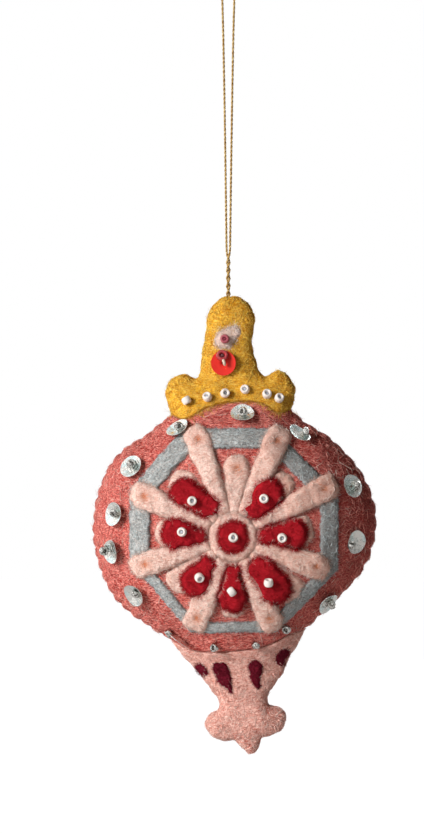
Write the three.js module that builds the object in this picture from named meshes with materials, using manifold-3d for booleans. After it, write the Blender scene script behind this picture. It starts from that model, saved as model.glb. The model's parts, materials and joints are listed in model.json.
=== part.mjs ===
// A stuffed felt christmas ornament on a gold cord. Sizes are in millimetres. X points right, the
// decorated face looks along -Y and Z points up. The origin is the point that the loop hangs on.
import * as THREE from "three";
import { mergeVertices } from "three/addons/utils/BufferGeometryUtils.js";
import Module from "manifold-3d";

const wasm = await Module();
wasm.setup();

// The sewn felt shape, seen from the front
const bodyHalfWidth = 39.3;
const bodyHalfHeight = 33.5;
const capHalfWidth = 18;
const capHeight = 33.2;
const tailHalfWidth = 18.1;
const tailHeight = 31.8;
const bodyOffset = 1.9;
const capOffset = 0.5;
const tailOffset = 3.3;

// Felt, stuffing and seam
const felt = 1.6;
const gap = 0.3;
const stuffingClearance = 0.9;
const crown = 15.5;
const crownDepth = 22;
const leftStitchPitch = 3.5;
const rightStitchPitch = 5;
const endStitchPitch = 4;
const scallop = 0.6;
const joinStep = 2.4;
const seamStep = 2.2;

// The flower: the clear felt between the seam and the octagon, and the pieces' own sizes
const sideMargin = 10.4;
const endMargin = 4.6;
const bandHalfWidth = 2.4;
const bandThickness = 1.5;
const petalThickness = 2;
const heartThickness = 1.6;
const discRadius = 6.9;
const centreHeartRadius = 4;
const longTipRadius = 3.6;
const longRootRadius = 1.4;
const shortTipRadius = 3.8;
const shortRootRadius = 1.5;

// Beads, sequins and drops
const beadRadius = 1.4;
const beadHole = 0.5;
const beadHalfHeight = 0.85;
const beadSink = 0.25;
const silverBeadRadius = 1.1;
const silverBeadHalfHeight = 0.7;
const sequinRadius = 3;
const sequinCup = 0.9;
const sequinSheet = 0.35;
const redSequinRadius = 3.5;
const spotRadius = 2.3;
const spotThickness = 0.9;
const dropThickness = 1.1;
const dropRadius = 1.5;
const dropTipRadius = 0.5;

// The cord
const strandDiameter = 0.67;
const stemDiameter = 1.2;
const bightRadius = 2;
const loopDrop = 75.9;
const stemLength = 12.6;

// Where the parts of the outline meet, as shares of the body's half height
const capBaseShare = 0.958;
const tailBaseShare = 0.908;

const capTop = -(loopDrop + stemLength);
const capBase = capTop - capHeight;
const bodyCentre = capBase - bodyHalfHeight * capBaseShare;
const tailBase = bodyCentre - bodyHalfHeight * tailBaseShare;
const octagonHalfWidth = bodyHalfWidth - sideMargin;
const octagonHalfHeight = bodyHalfHeight - endMargin;

const onBody = ([x, z]) => new THREE.Vector2(bodyOffset + x * bodyHalfWidth, bodyCentre + z * bodyHalfHeight);
const onCap = ([x, z]) => new THREE.Vector2(capOffset + x * capHalfWidth, capBase + z * capHeight);
const onTail = ([x, z]) => new THREE.Vector2(tailOffset + x * tailHalfWidth, tailBase - z * tailHeight);

// The outline, as shares of the half widths and heights, each stretch drawn through its points
const bodyLeftShares = [
  [-0.454, 0.967], [-0.674, 0.779], [-0.908, 0.525], [-1.0, 0.158], [-0.986, -0.2],
  [-0.858, -0.55], [-0.66, -0.758], [-0.447, -0.917],
];
const bodyRightShares = [
  [0.496, -0.817], [0.716, -0.583], [0.922, -0.292], [1.004, 0.058], [0.929, 0.417],
  [0.716, 0.733], [0.496, 0.908], [0.397, 1.008],
];
const capJoinShares = [
  [-0.454, 0.967], [-0.355, 0.929], [-0.191, 1.025], [0.007, 1.071], [0.191, 1.058],
  [0.298, 0.983], [0.397, 1.008],
];
const tailJoinShares = [
  [-0.447, -0.917], [-0.284, -0.992], [-0.021, -0.992], [0.206, -0.95], [0.411, -0.842],
  [0.496, -0.817],
];
const capSideShares = [
  [-1.0, 0.193], [-0.915, 0.303], [-0.713, 0.349], [-0.512, 0.315], [-0.434, 0.529],
  [-0.372, 0.714], [-0.341, 0.857], [-0.14, 0.983], [0.171, 0.987], [0.372, 0.849],
  [0.341, 0.597], [0.519, 0.332], [0.76, 0.382], [0.992, 0.252], [0.992, 0.134],
];
const tailSideShares = [
  [-0.846, 0.175], [-0.538, 0.342], [-0.308, 0.526], [-0.323, 0.614], [-0.508, 0.684],
  [-0.446, 0.816], [-0.077, 0.882], [0.138, 0.991], [0.323, 0.886], [0.538, 0.816],
  [0.708, 0.702], [0.6, 0.605], [0.415, 0.544], [0.492, 0.404], [0.723, 0.237], [0.908, 0.026],
];
const tailCentreShare = [0.046, 0.526];

// Points at even steps along a smooth curve through the given points
function along(points, count) {
  const upright = points.map((p) => new THREE.Vector3(p.x, 0, p.y));
  const curve = new THREE.CatmullRomCurve3(upright, false, "centripetal");
  return curve.getSpacedPoints(count).map((p) => new THREE.Vector2(p.x, p.z));
}

function lengthOf(points) {
  return points.slice(1).reduce((sum, p, i) => sum + p.distanceTo(points[i]), 0);
}

// A sewn edge: the felt swells out between stitches, three points to a stitch
const pointsPerStitch = 3;
function sewnEdge(points, pitch) {
  const stitches = Math.round(lengthOf(points) / pitch);
  const line = along(points, stitches * pointsPerStitch);
  const swell = (i) => scallop * Math.abs(Math.sin((Math.PI * i) / pointsPerStitch));
  return line.map((p, i) => ({ p, out: swell(i), join: 0 }));
}

// A joined edge: it keeps half the clearance to the felt of the next colour. The stuffing passes
// it, most in the middle of the join.
function joinedEdge(points) {
  const steps = Math.round(lengthOf(points) / joinStep);
  return along(points, steps).map((p, i) => ({ p, out: -gap / 2, join: Math.sin((Math.PI * i) / steps) }));
}

// Puts edges end to end round a closed region and moves each point out along its normal
function regionOf(edges) {
  const marks = edges.flatMap((edge) => edge.slice(0, -1));
  const count = marks.length;
  let area = 0;
  marks.forEach((m, i) => {
    area += m.p.cross(marks[(i + 1) % count].p);
  });
  const moved = (amount) => marks.map((m, i) => {
    const run = marks[(i + 1) % count].p.clone().sub(marks[(i + count - 1) % count].p).normalize();
    const out = new THREE.Vector2(run.y, -run.x).multiplyScalar(Math.sign(area));
    return m.p.clone().addScaledVector(out, amount(m));
  });
  const close = (list) => [...list, list[0]];
  return {
    rim: close(moved((m) => m.out)),
    base: close(moved((m) => Math.min(m.out, 0))),
    joins: close(marks.map((m) => m.join)),
  };
}

// Where edges meet, both ends keep the clearance
const corner = (edge) => edge.map((m, i) => (
  i === 0 || i === edge.length - 1 ? { ...m, out: -gap / 2 } : m
));
const bodyLeft = corner(sewnEdge(bodyLeftShares.map(onBody), leftStitchPitch));
const bodyRight = corner(sewnEdge(bodyRightShares.map(onBody), rightStitchPitch));
const capJoin = joinedEdge(capJoinShares.map(onBody));
const tailJoin = joinedEdge(tailJoinShares.map(onBody));
const between = (join, middle) => [onBody(join[0]), ...middle, onBody(join.at(-1))];
const capSidePoints = between(capJoinShares, capSideShares.map(onCap));
const tailSidePoints = between(tailJoinShares, tailSideShares.map(onTail));
const capSide = corner(sewnEdge(capSidePoints, endStitchPitch));
const tailSide = corner(sewnEdge(tailSidePoints, endStitchPitch));
const backwards = (edge) => [...edge].reverse();

// The seam all round the ornament, which the stuffing rises from
const seam = [
  capSidePoints,
  backwards(bodyRightShares).map(onBody),
  backwards(tailSidePoints),
  backwards(bodyLeftShares).map(onBody),
].flatMap((line) => along(line, Math.round(lengthOf(line) / seamStep)).slice(0, -1));

// A soft distance to the seam: each bit of seam pulls the felt down with the cube of its nearness,
// so that beside a straight seam it is the true distance, and in a narrow part less
const leastOff = strandDiameter / 1000;
function seamDistance(x, z) {
  let pull = 0;
  seam.forEach((a, i) => {
    const b = seam[(i + 1) % seam.length];
    const length = a.distanceTo(b);
    const foot = ((x - a.x) * (b.x - a.x) + (z - a.y) * (b.y - a.y)) / length;
    const off = Math.sqrt(Math.max((x - a.x) ** 2 + (z - a.y) ** 2 - foot ** 2, leastOff ** 2));
    pull += ((length - foot) / Math.hypot(length - foot, off) + foot / Math.hypot(foot, off)) / off ** 2;
  });
  return Math.sqrt(2 / pull);
}

// How full the stuffing is: whole in the middle of the body, less in the cap and the tail
const endFullnessShare = 0.55;
const fullnessShares = [0.5, 1.25];
function stuffedShare(z) {
  const away = Math.abs(z - bodyCentre) / bodyHalfHeight;
  return 1 - (1 - endFullnessShare) * THREE.MathUtils.smoothstep(away, ...fullnessShares);
}

// How far the outside of the felt stands from the seam's plane: steep beside the seam and flat
// once it is the crown's depth away
const crownPower = 0.65;
function faceHeight(x, z) {
  const toCrown = 1 - Math.min(seamDistance(x, z) / crownDepth, 1);
  return felt + gap / 2 + crown * stuffedShare(z) * (1 - toCrown ** 2) ** crownPower;
}

const probe = gap / 2;
function faceNormal(x, z) {
  const slopeX = (faceHeight(x + probe, z) - faceHeight(x - probe, z)) / (2 * probe);
  const slopeZ = (faceHeight(x, z + probe) - faceHeight(x, z - probe)) / (2 * probe);
  return new THREE.Vector3(-slopeX, -1, -slopeZ).normalize();
}

// Joins two rows of points with triangles, always stepping on along the row that is behind
function joinRows(triangles, from, to) {
  let i = 0;
  let j = 0;
  while (i < from.length - 1 || j < to.length - 1) {
    const fromEnds = i >= from.length - 1;
    const toEnds = j >= to.length - 1;
    const toIsBehind = (j + 1) * (from.length - 1) <= (i + 1) * (to.length - 1);
    if (fromEnds || (!toEnds && toIsBehind)) {
      triangles.push(from[i], to[j + 1], to[j]);
      j += 1;
    } else {
      triangles.push(from[i], from[i + 1], to[j]);
      i += 1;
    }
  }
}

// A closed solid over rows of points, with the last row joined to the first unless they are ends
function solidOver(rows) {
  const triangles = [];
  rows.forEach((row, i) => joinRows(triangles, row, rows[(i + 1) % rows.length]));
  const loose = new THREE.BufferGeometry().setFromPoints(triangles);
  return tidy(loose);
}

// Merges equal points, drops flat triangles and turns the faces out
function tidy(loose) {
  loose.deleteAttribute("normal");
  loose.deleteAttribute("uv");
  const merged = mergeVertices(loose);
  const index = merged.index.array;
  const kept = [];
  for (let i = 0; i < index.length; i += 3) {
    const [a, b, c] = index.slice(i, i + 3);
    if (a !== b && b !== c && c !== a) kept.push(a, b, c);
  }
  const place = merged.attributes.position;
  const p = [0, 1, 2].map(() => new THREE.Vector3());
  let volume = 0;
  for (let i = 0; i < kept.length; i += 3) {
    p.forEach((v, k) => v.fromBufferAttribute(place, kept[i + k]));
    volume += p[0].dot(p[1].cross(p[2]));
  }
  if (volume < 0) kept.reverse();
  merged.setIndex(kept);
  return merged;
}

const asSolid = (geometry) => new wasm.Manifold(new wasm.Mesh({
  numProp: 3,
  vertProperties: new Float32Array(geometry.attributes.position.array),
  triVerts: new Uint32Array(geometry.index.array),
}));

function asGeometry(solid) {
  const mesh = solid.getMesh();
  const geometry = new THREE.BufferGeometry();
  geometry.setAttribute("position", new THREE.BufferAttribute(mesh.vertProperties, 3));
  geometry.setIndex(new THREE.BufferAttribute(mesh.triVerts, 1));
  return geometry;
}

const joined = (...parts) => asGeometry(parts.map(asSolid).reduce((a, b) => a.add(b)));
const cutBy = (part, cutters) => asGeometry(
  cutters.map(asSolid).reduce((a, b) => a.subtract(b), asSolid(part)),
);

// The point at a share of the way along a list
function pick(list, share) {
  const place = share * (list.length - 1);
  const i = Math.min(Math.floor(place), list.length - 2);
  const part = place - i;
  return typeof list[0] === "number"
    ? list[i] * (1 - part) + list[i + 1] * part
    : list[i].clone().lerp(list[i + 1], part);
}

// A row at a share of the way from the foot of a region to its rim. The row shares of a region
// give each row's place and how many points it has; the rim keeps the points of its edge.
function rowOf(region, share, count) {
  if (count === 1) return [region.foot[0]];
  const edge = share === 1 ? region.rim : region.base;
  const steps = share === 1 ? region.rim.length : count;
  return Array.from({ length: steps }, (_, i) => {
    const u = i / (steps - 1);
    return pick(region.foot, u).lerp(pick(edge, u), share);
  });
}

// Lifts a flat row onto the front (side 1) or the back (side -1), some way below the felt's face.
// The height is read at another row where the felt swells out past its seam.
const lifted = (row, side, below, ground = row) => row.map(
  (p, i) => new THREE.Vector3(p.x, side * (below - faceHeight(ground[i].x, ground[i].y)), p.y),
);

// One piece of felt: its outside, its inside and the cut edge between them
function feltPanel(region, side) {
  const sheet = (rowShares, below) => rowShares.map(([share, count]) => {
    const row = rowOf(region, share, count);
    return lifted(row, side, below, share === 1 ? region.base : row);
  });
  const outside = sheet(region.outerRowShares, 0);
  const inside = sheet(region.innerRowShares, felt);
  return solidOver([...outside, ...inside.reverse()]);
}

// The stuffing of one region. Where the region joins another it reaches past the join.
const stuffingReachShare = 0.12;
function stuffing(region) {
  const rows = region.innerRowShares.slice(0, -1).map(([share, count]) => rowOf(region, share, count));
  const [lastShare, lastCount] = region.innerRowShares.at(-2);
  const reach = Array.from({ length: lastCount }, (_, i) => {
    const u = i / (lastCount - 1);
    const share = lastShare + stuffingReachShare * pick(region.joins, u) * region.reaches;
    return pick(region.foot, u).lerp(pick(region.base, u), share);
  });
  const front = [...rows, reach].map((row) => lifted(row, 1, felt + stuffingClearance));
  const back = [...rows, reach].map((row) => lifted(row, -1, felt + stuffingClearance));
  return solidOver([...front, ...back.reverse()]);
}

const bodyRegion = regionOf([bodyLeft, tailJoin, bodyRight, backwards(capJoin)]);
bodyRegion.foot = bodyRegion.rim.map(() => onBody([0, 0]));
bodyRegion.outerRowShares = [[0, 1], [0.3, 13], [0.56, 25], [0.78, 49], [0.9, 73], [0.97, 97], [1, 0]];
bodyRegion.innerRowShares = [[0, 1], [0.4, 13], [0.7, 25], [0.86, 37], [0.94, 49], [1, 0]];
bodyRegion.reaches = 1;

const tailRegion = regionOf([tailJoin, backwards(tailSide)]);
tailRegion.foot = tailRegion.rim.map(() => onTail(tailCentreShare));
tailRegion.outerRowShares = [[0, 1], [0.35, 13], [0.65, 25], [0.85, 49], [0.95, 61], [1, 0]];
tailRegion.innerRowShares = [[0, 1], [0.35, 13], [0.65, 25], [0.88, 49], [1, 0]];
tailRegion.reaches = 1;

// The cap rises in upright lines from its join, so its lobes and its column are one sheet
const capLoop = regionOf([capJoin, backwards(capSide)]);
const capRegion = {
  rim: capLoop.rim.slice(capJoin.length - 1).reverse(),
  base: capLoop.base.slice(capJoin.length - 1).reverse(),
  joins: [0, 0],
  outerRowShares: [[0, 25], [0.25, 25], [0.55, 31], [0.8, 49], [0.94, 61], [1, 0]],
  innerRowShares: [[0, 25], [0.25, 25], [0.55, 25], [0.85, 31], [1, 0]],
  reaches: 0,
};
const capFootLine = capLoop.base.slice(0, capJoin.length);
let reached = capFootLine[0].x;
capRegion.foot = capRegion.rim.map((p) => {
  reached = Math.min(Math.max(reached, p.x), capFootLine.at(-1).x);
  const next = Math.max(capFootLine.findIndex((q) => q.x >= reached), 1);
  const [a, b] = [capFootLine[next - 1], capFootLine[next]];
  return a.clone().lerp(b, (reached - a.x) / (b.x - a.x));
});
capRegion.foot[0] = capRegion.rim[0];
capRegion.foot[capRegion.foot.length - 1] = capRegion.rim.at(-1);

// The flower's middle, and how far out a point lies in the octagon: 1 on its outer edge
const flowerCentreShares = [-0.018, -0.04];
const octagonCentreShares = [-0.004, 0.004];
const flowerCentre = onBody(flowerCentreShares);
const octagonCentre = onBody(octagonCentreShares);
const octagonShares = [
  [-0.375, 0.98], [0.38, 0.98], [0.985, 0.37], [0.985, -0.4],
  [0.29, -0.98], [-0.4, -0.98], [-1, -0.26], [-1, 0.445],
];
const octagon = octagonShares.map(([x, z]) => new THREE.Vector2(x * octagonHalfWidth, z * octagonHalfHeight));
function octagonShare(x, z) {
  const p = new THREE.Vector2(x, z).sub(octagonCentre);
  return Math.max(...octagon.map((a, i) => {
    const run = octagon[(i + 1) % octagon.length].clone().sub(a);
    return p.cross(run) / a.cross(run);
  }));
}

// Where a layer rests: on the face, or with the petals' ends raised onto the band
const riseShares = [0.55, 0.78];
const onFace = (x, z) => faceHeight(x, z) + gap;
const onBand = (x, z) => onFace(x, z)
  + (bandThickness + gap) * THREE.MathUtils.smoothstep(octagonShare(x, z), ...riseShares);
const onPetal = (x, z) => onFace(x, z) + petalThickness + gap;

// A felted pad laid on a surface: a round root and a round tip with straight sides between them
const topShares = [-1, -0.6, 0, 0.6, 1];
const baseShares = [1, 0, -1];
const edgeShare = 0.55;
const fullness = (v, swell = 1) => edgeShare + (1 - edgeShare) * swell * Math.sqrt(1 - v * v);
const endTurnShares = [0.3, 0.7];
function pad({ root, tip, rootRadius, tipRadius, thickness, rests, steps = 3 }) {
  const run = tip.clone().sub(root);
  const length = run.length();
  const ahead = length > 0 ? run.clone().normalize() : new THREE.Vector2(1, 0);
  const across = new THREE.Vector2(-ahead.y, ahead.x);
  const stations = [
    { s: -rootRadius, half: 0 },
    ...endTurnShares.map((t) => ({
      s: -rootRadius * Math.cos((t * Math.PI) / 2),
      half: rootRadius * Math.sin((t * Math.PI) / 2),
    })),
    ...Array.from({ length: steps + 1 }, (_, i) => ({
      s: (length * i) / steps,
      half: rootRadius + ((tipRadius - rootRadius) * i) / steps,
    })),
    ...[...endTurnShares].reverse().map((t) => ({
      s: length + tipRadius * Math.cos((t * Math.PI) / 2),
      half: tipRadius * Math.sin((t * Math.PI) / 2),
    })),
    { s: length + tipRadius, half: 0 },
  ];
  const widest = Math.max(rootRadius, tipRadius);
  const rows = stations.map(({ s, half }) => {
    const swell = Math.sqrt(half / widest);
    const place = (share, lift) => {
      const p = root.clone().addScaledVector(ahead, s).addScaledVector(across, half * share);
      return new THREE.Vector3(p.x, -(rests(p.x, p.y) + lift), p.y);
    };
    const top = topShares.map((v) => place(v, thickness * fullness(v, swell)));
    const ring = [...top, ...baseShares.map((v) => place(v, 0))];
    return [...ring, ring[0]];
  });
  const triangles = [];
  rows.slice(1).forEach((row, i) => joinRows(triangles, rows[i], row));
  return tidy(new THREE.BufferGeometry().setFromPoints(triangles));
}

// The same pad, grown all round by the clearance, to cut what lies beside it
const cutterThickness = 2 * (felt + petalThickness + heartThickness + bandThickness);
const underFace = (x, z) => faceHeight(x, z) - felt;
const cutterOf = (shape) => pad({
  ...shape,
  rootRadius: shape.rootRadius + gap,
  tipRadius: shape.tipRadius + gap,
  thickness: cutterThickness,
  rests: underFace,
});

// A place at a turn, clockwise from straight up: beside the centre disc, or at a share of the way
// out to the octagon, a radius short of it
function beside(degrees, distance) {
  const turn = THREE.MathUtils.degToRad(degrees);
  return flowerCentre.clone().add(new THREE.Vector2(Math.sin(turn), Math.cos(turn)).multiplyScalar(distance));
}

function outward(degrees, share, radius) {
  const turn = THREE.MathUtils.degToRad(degrees);
  const reach = new THREE.Vector2(Math.sin(turn) * octagonHalfWidth, Math.cos(turn) * octagonHalfHeight);
  return beside(degrees, -radius).addScaledVector(reach, share);
}

// Long petals: the turn and the reach of each tip, as a share of the octagon's half sizes
const longPetalShares = [
  [340.6, 1.15], [24.2, 1.17], [61.6, 1.13], [110, 0.98],
  [156.2, 1.01], [203.2, 1.0], [252.3, 1.02], [295.1, 1.07],
];
const longPetals = longPetalShares.map(([degrees, share]) => ({
  root: beside(degrees, discRadius + gap + longRootRadius),
  tip: outward(degrees, share, longTipRadius),
  rootRadius: longRootRadius,
  tipRadius: longTipRadius,
  thickness: petalThickness,
  rests: onBand,
  steps: 4,
}));

// Places from the flower's centre, as shares of the octagon's half sizes
const fromCentre = ([x, z]) => flowerCentre.clone().add(
  new THREE.Vector2(x * octagonHalfWidth, z * octagonHalfHeight),
);

// Short petals, the first one plain and the others with a heart: the place of each tip and its
// radius as a share of the usual one. Each root lies straight between tip and centre disc.
const shortPetalShares = [
  [0.036, 0.67, 0.97], [0.456, 0.507, 0.97], [0.634, 0.064, 1.03], [0.549, -0.511, 1.03],
  [-0.003, -0.656, 0.96], [-0.493, -0.403, 1.05], [-0.594, 0.033, 1.1], [-0.47, 0.507, 1.05],
];
const shortPetals = shortPetalShares.map(([x, z, widthShare]) => {
  const tip = fromCentre([x, z]);
  const away = tip.clone().sub(flowerCentre).setLength(discRadius + gap + shortRootRadius);
  return {
    root: flowerCentre.clone().add(away),
    tip,
    rootRadius: shortRootRadius,
    tipRadius: shortTipRadius * widthShare,
    thickness: petalThickness,
    rests: onFace,
  };
});

// Hearts: the places of root, tip and bead, and both radii as shares of a short petal's tip
const heartShares = [
  { root: [0.218, 0.258], tip: [0.331, 0.429], bead: [0.296, 0.377], radii: [0.45, 0.79] },
  { root: [0.316, 0.048], tip: [0.572, 0.064], bead: [0.467, -0.004], radii: [0.45, 0.82] },
  { root: [0.269, -0.317], tip: [0.393, -0.488], bead: [0.334, -0.437], radii: [0.79, 1] },
  { root: [0, -0.348], tip: [-0.003, -0.581], bead: [-0.009, -0.527], radii: [0.45, 0.74] },
  { root: [-0.252, -0.278], tip: [-0.345, -0.426], bead: [-0.316, -0.385], radii: [0.58, 0.92] },
  { root: [-0.33, 0.009], tip: [-0.524, 0.033], bead: [-0.484, 0.053], radii: [0.45, 0.95] },
  { root: [-0.213, 0.305], tip: [-0.454, 0.437], bead: [-0.383, 0.358], radii: [0.63, 0.84] },
];

// A seed bead: a ring turned about its own axis, its foot at the origin
const beadSides = 8;
const beadProfileShares = [[1, -0.5], [1, 0.5], [0, 1], [-1, 0], [0, -1]];
function seedBead(radius, halfHeight, hole) {
  const half = (radius - hole) / 2;
  const profile = beadProfileShares.map(
    ([r, h]) => new THREE.Vector2(hole + half * (1 + r), halfHeight * (1 + h)),
  );
  return tidy(new THREE.LatheGeometry([...profile, profile[0].clone()], beadSides));
}

// A cup sequin with the bead that holds it: a thin dished disc whose hollow faces out, and the
// bead's wall and top in the middle, turned as one
const sequinSides = 10;
const waistShare = 0.7;
function beadedSequin(radius, cup, sheet, bead, beadHeight, hole) {
  const profile = [
    [0, 0], [radius, cup], [radius, cup + sheet], [bead * waistShare, sheet],
    [bead, sheet + beadHeight], [bead * waistShare, sheet + 2 * beadHeight],
    [hole, sheet + 2 * beadHeight * waistShare], [0, sheet + beadHeight],
  ];
  return tidy(new THREE.LatheGeometry(profile.map(([r, h]) => new THREE.Vector2(r, h)), sequinSides));
}

// Stands a turned piece above the felt at a place, its axis along the felt's normal
function stood(geometry, place, height) {
  const normal = faceNormal(place.x, place.y);
  const turn = new THREE.Quaternion().setFromUnitVectors(new THREE.Vector3(0, 1, 0), normal);
  const depth = faceHeight(place.x, place.y) + height;
  return geometry.clone().applyQuaternion(turn).translate(place.x, -depth, place.y);
}

// The height at which a turned piece clears the felt, also where the felt slopes
const clearance = (place) => gap / -faceNormal(place.x, place.y).y;

// Colours and finishes
const finish = (color, roughness, metalness = 0) => (
  new THREE.MeshStandardMaterial({ color, roughness, metalness })
);
const coralFelt = finish("#c9544e", 0.95);
const yellowFelt = finish("#e0a01f", 0.95);
const pinkFelt = finish("#dd9c8c", 0.95);
const petalFelt = finish("#e3ab9b", 0.95);
const greyFelt = finish("#9ba6a8", 0.95);
const redWool = finish("#a3111e", 0.95);
const burgundyWool = finish("#5c1422", 0.95);
const whiteWool = finish("#e8e2d8", 1);
const pearlGlass = finish("#f2ece8", 0.3);
const silver = finish("#d6d8d8", 0.2, 0.9);
const redPlastic = finish("#dd3f3a", 0.35);
const goldThread = finish("#b08a4a", 0.5, 0.4);

const ornament = new THREE.Group();
function add(name, geometry, material) {
  const mesh = new THREE.Mesh(geometry, material);
  mesh.name = name;
  ornament.add(mesh);
}

add("front_panel", feltPanel(bodyRegion, 1), coralFelt);
add("back_panel", feltPanel(bodyRegion, -1), coralFelt);
add("cap_front", feltPanel(capRegion, 1), yellowFelt);
add("cap_back", feltPanel(capRegion, -1), yellowFelt);
add("tail_front", feltPanel(tailRegion, 1), pinkFelt);
add("tail_back", feltPanel(tailRegion, -1), pinkFelt);
add("filling", joined(stuffing(bodyRegion), stuffing(capRegion), stuffing(tailRegion)), whiteWool);

// The band: a flat strip carried round the octagon
const bandSteps = 4;
const bandTopShares = [-1, -0.5, 0.5, 1];
const bandWidthShares = [1.06, 0.95, 1, 0.75, 0.58, 0.55, 1.12, 0.99];
const bandLine = octagon.flatMap((a, i) => {
  const b = octagon[(i + 1) % octagon.length];
  return Array.from({ length: bandSteps }, (_, k) => ({
    p: a.clone().lerp(b, k / bandSteps),
    widthShare: k === 0 ? (bandWidthShares.at(i - 1) + bandWidthShares[i]) / 2 : bandWidthShares[i],
  }));
});
function band(margin, thickness, rests) {
  return solidOver(bandLine.map(({ p, widthShare }) => {
    const place = (share, lift) => {
      const inwards = bandHalfWidth * widthShare * (1 - share) - share * margin;
      const x = octagonCentre.x + p.x * (1 - inwards / octagonHalfWidth);
      const z = octagonCentre.y + p.y * (1 - inwards / octagonHalfHeight);
      return new THREE.Vector3(x, -(rests(x, z) + lift), z);
    };
    const top = bandTopShares.map((v) => place(v, thickness * fullness(v)));
    const ring = [...top, ...baseShares.map((v) => place(v, 0))];
    return [...ring, ring[0]];
  }));
}
add("octagon_band", band(0, bandThickness, onFace), greyFelt);

longPetals.forEach((shape, i) => add(`long_petal_${i + 1}`, pad(shape), petalFelt));
const cutters = longPetals.map(cutterOf);
const bandCutter = band(gap, cutterThickness, underFace);
shortPetals.forEach((shape, i) => {
  const neighbours = [cutters[i], cutters[(i + 1) % cutters.length], bandCutter];
  add(`short_petal_${i + 1}`, cutBy(pad(shape), neighbours), petalFelt);
});

heartShares.forEach((shares, i) => {
  const heart = {
    root: fromCentre(shares.root),
    tip: fromCentre(shares.tip),
    rootRadius: shortTipRadius * shares.radii[0],
    tipRadius: shortTipRadius * shares.radii[1],
    thickness: heartThickness,
    steps: 2,
    rests: onPetal,
  };
  const neighbours = [cutters[i + 1], cutters[(i + 2) % cutters.length], bandCutter];
  const height = 2 * gap + petalThickness + heartThickness - 2 * beadSink;
  const bead = stood(seedBead(beadRadius, beadHalfHeight, beadHole), fromCentre(shares.bead), height);
  add(`petal_heart_${i + 1}`, joined(cutBy(pad(heart), neighbours), bead), redWool);
});

const round = (radius, thickness, rests) => pad({
  root: flowerCentre, tip: flowerCentre, rootRadius: radius, tipRadius: radius, thickness, rests, steps: 1,
});
const centreBead = stood(
  seedBead(beadRadius, beadHalfHeight, beadHole),
  flowerCentre,
  gap + petalThickness + heartThickness - 2 * beadSink,
);
add("flower_centre", joined(
  round(discRadius, petalThickness, onFace),
  round(centreHeartRadius, heartThickness, (x, z) => onFace(x, z) + petalThickness - beadSink),
  centreBead,
), petalFelt);

// Six white beads in a row along the foot of the cap
const capBeadShares = [
  [-0.667, 0.13], [-0.357, 0.165], [-0.087, 0.193], [0.24, 0.229], [0.571, 0.189], [0.764, 0.157],
];
const pearlBead = seedBead(beadRadius, beadHalfHeight, beadHole);
capBeadShares.map(onCap).forEach((place, i) => {
  add(`cap_bead_${i + 1}`, stood(pearlBead, place, clearance(place)), pearlGlass);
});

// The column's wool spot and its red sequin, each with a bead
const spotShares = [[-0.12, 0.625], [0.03, 0.685], [-0.067, 0.65]];
const [spotRoot, spotTip, spotBead] = spotShares.map(onCap);
add("cap_spot", joined(
  pad({
    root: spotRoot, tip: spotTip, rootRadius: spotRadius, tipRadius: spotRadius, thickness: spotThickness,
    rests: onFace, steps: 2,
  }),
  stood(seedBead(silverBeadRadius, silverBeadHalfHeight, beadHole), spotBead, gap + spotThickness - beadSink),
), petalFelt);
const redSequinShares = [[-0.102, 0.44], [-0.118, 0.496]];
const redSequinSides = 12;
const [redSequinPlace, redBeadPlace] = redSequinShares.map(onCap);
const redDisc = [[0, 0], [1, 0], [1, 1], [0, 1]].map(
  ([r, h]) => new THREE.Vector2(r * redSequinRadius, h * sequinSheet),
);
const redBead = seedBead(beadRadius, silverBeadHalfHeight, beadHole);
redBead.translate(0, sequinSheet - beadSink / 2, 0);
add("cap_sequin", joined(
  stood(tidy(new THREE.LatheGeometry(redDisc, redSequinSides)), redSequinPlace, clearance(redSequinPlace)),
  stood(redBead, redBeadPlace, clearance(redBeadPlace)),
), redPlastic);

// Silver cup sequins round the body, each held by a silver bead
const sequinShares = [
  [0.057, 0.975], [-0.397, 0.842], [0.461, 0.808], [-0.738, 0.55], [0.83, 0.375], [-0.858, 0.142],
  [0.858, -0.075], [-0.872, -0.167], [-0.723, -0.517], [0.652, -0.575], [-0.376, -0.867],
];
const sequin = beadedSequin(
  sequinRadius, sequinCup, sequinSheet, silverBeadRadius, silverBeadHalfHeight, beadHole,
);
sequinShares.map(onBody).forEach((place, i) => {
  add(`sequin_${i + 1}`, stood(sequin, place, clearance(place)), silver);
});

// Three silver beads along the foot of the body
const silverBead = seedBead(silverBeadRadius, silverBeadHalfHeight, beadHole);
const crystalShares = [[-0.142, -0.942], [0.142, -0.925], [0.348, -0.792]];
crystalShares.map(onBody).forEach((place, i) => {
  add(`crystal_bead_${i + 1}`, stood(silverBead, place, clearance(place)), silver);
});

// Burgundy drops on the tail: head, and the tip that each runs out to
const onSlope = (x, z) => faceHeight(x, z) + clearance(new THREE.Vector2(x, z));
const dropShares = [
  [[-0.66, 0.19], [-0.52, 0.29]], [[-0.26, 0.2], [-0.22, 0.45]],
  [[0.25, 0.2], [0.22, 0.41]], [[0.66, 0.1], [0.58, 0.2]],
];
dropShares.forEach(([head, end], i) => {
  add(`tail_drop_${i + 1}`, pad({
    root: onTail(head), tip: onTail(end), rootRadius: dropRadius, tipRadius: dropTipRadius,
    thickness: dropThickness, rests: onSlope, steps: 2,
  }), burgundyWool);
});

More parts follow.
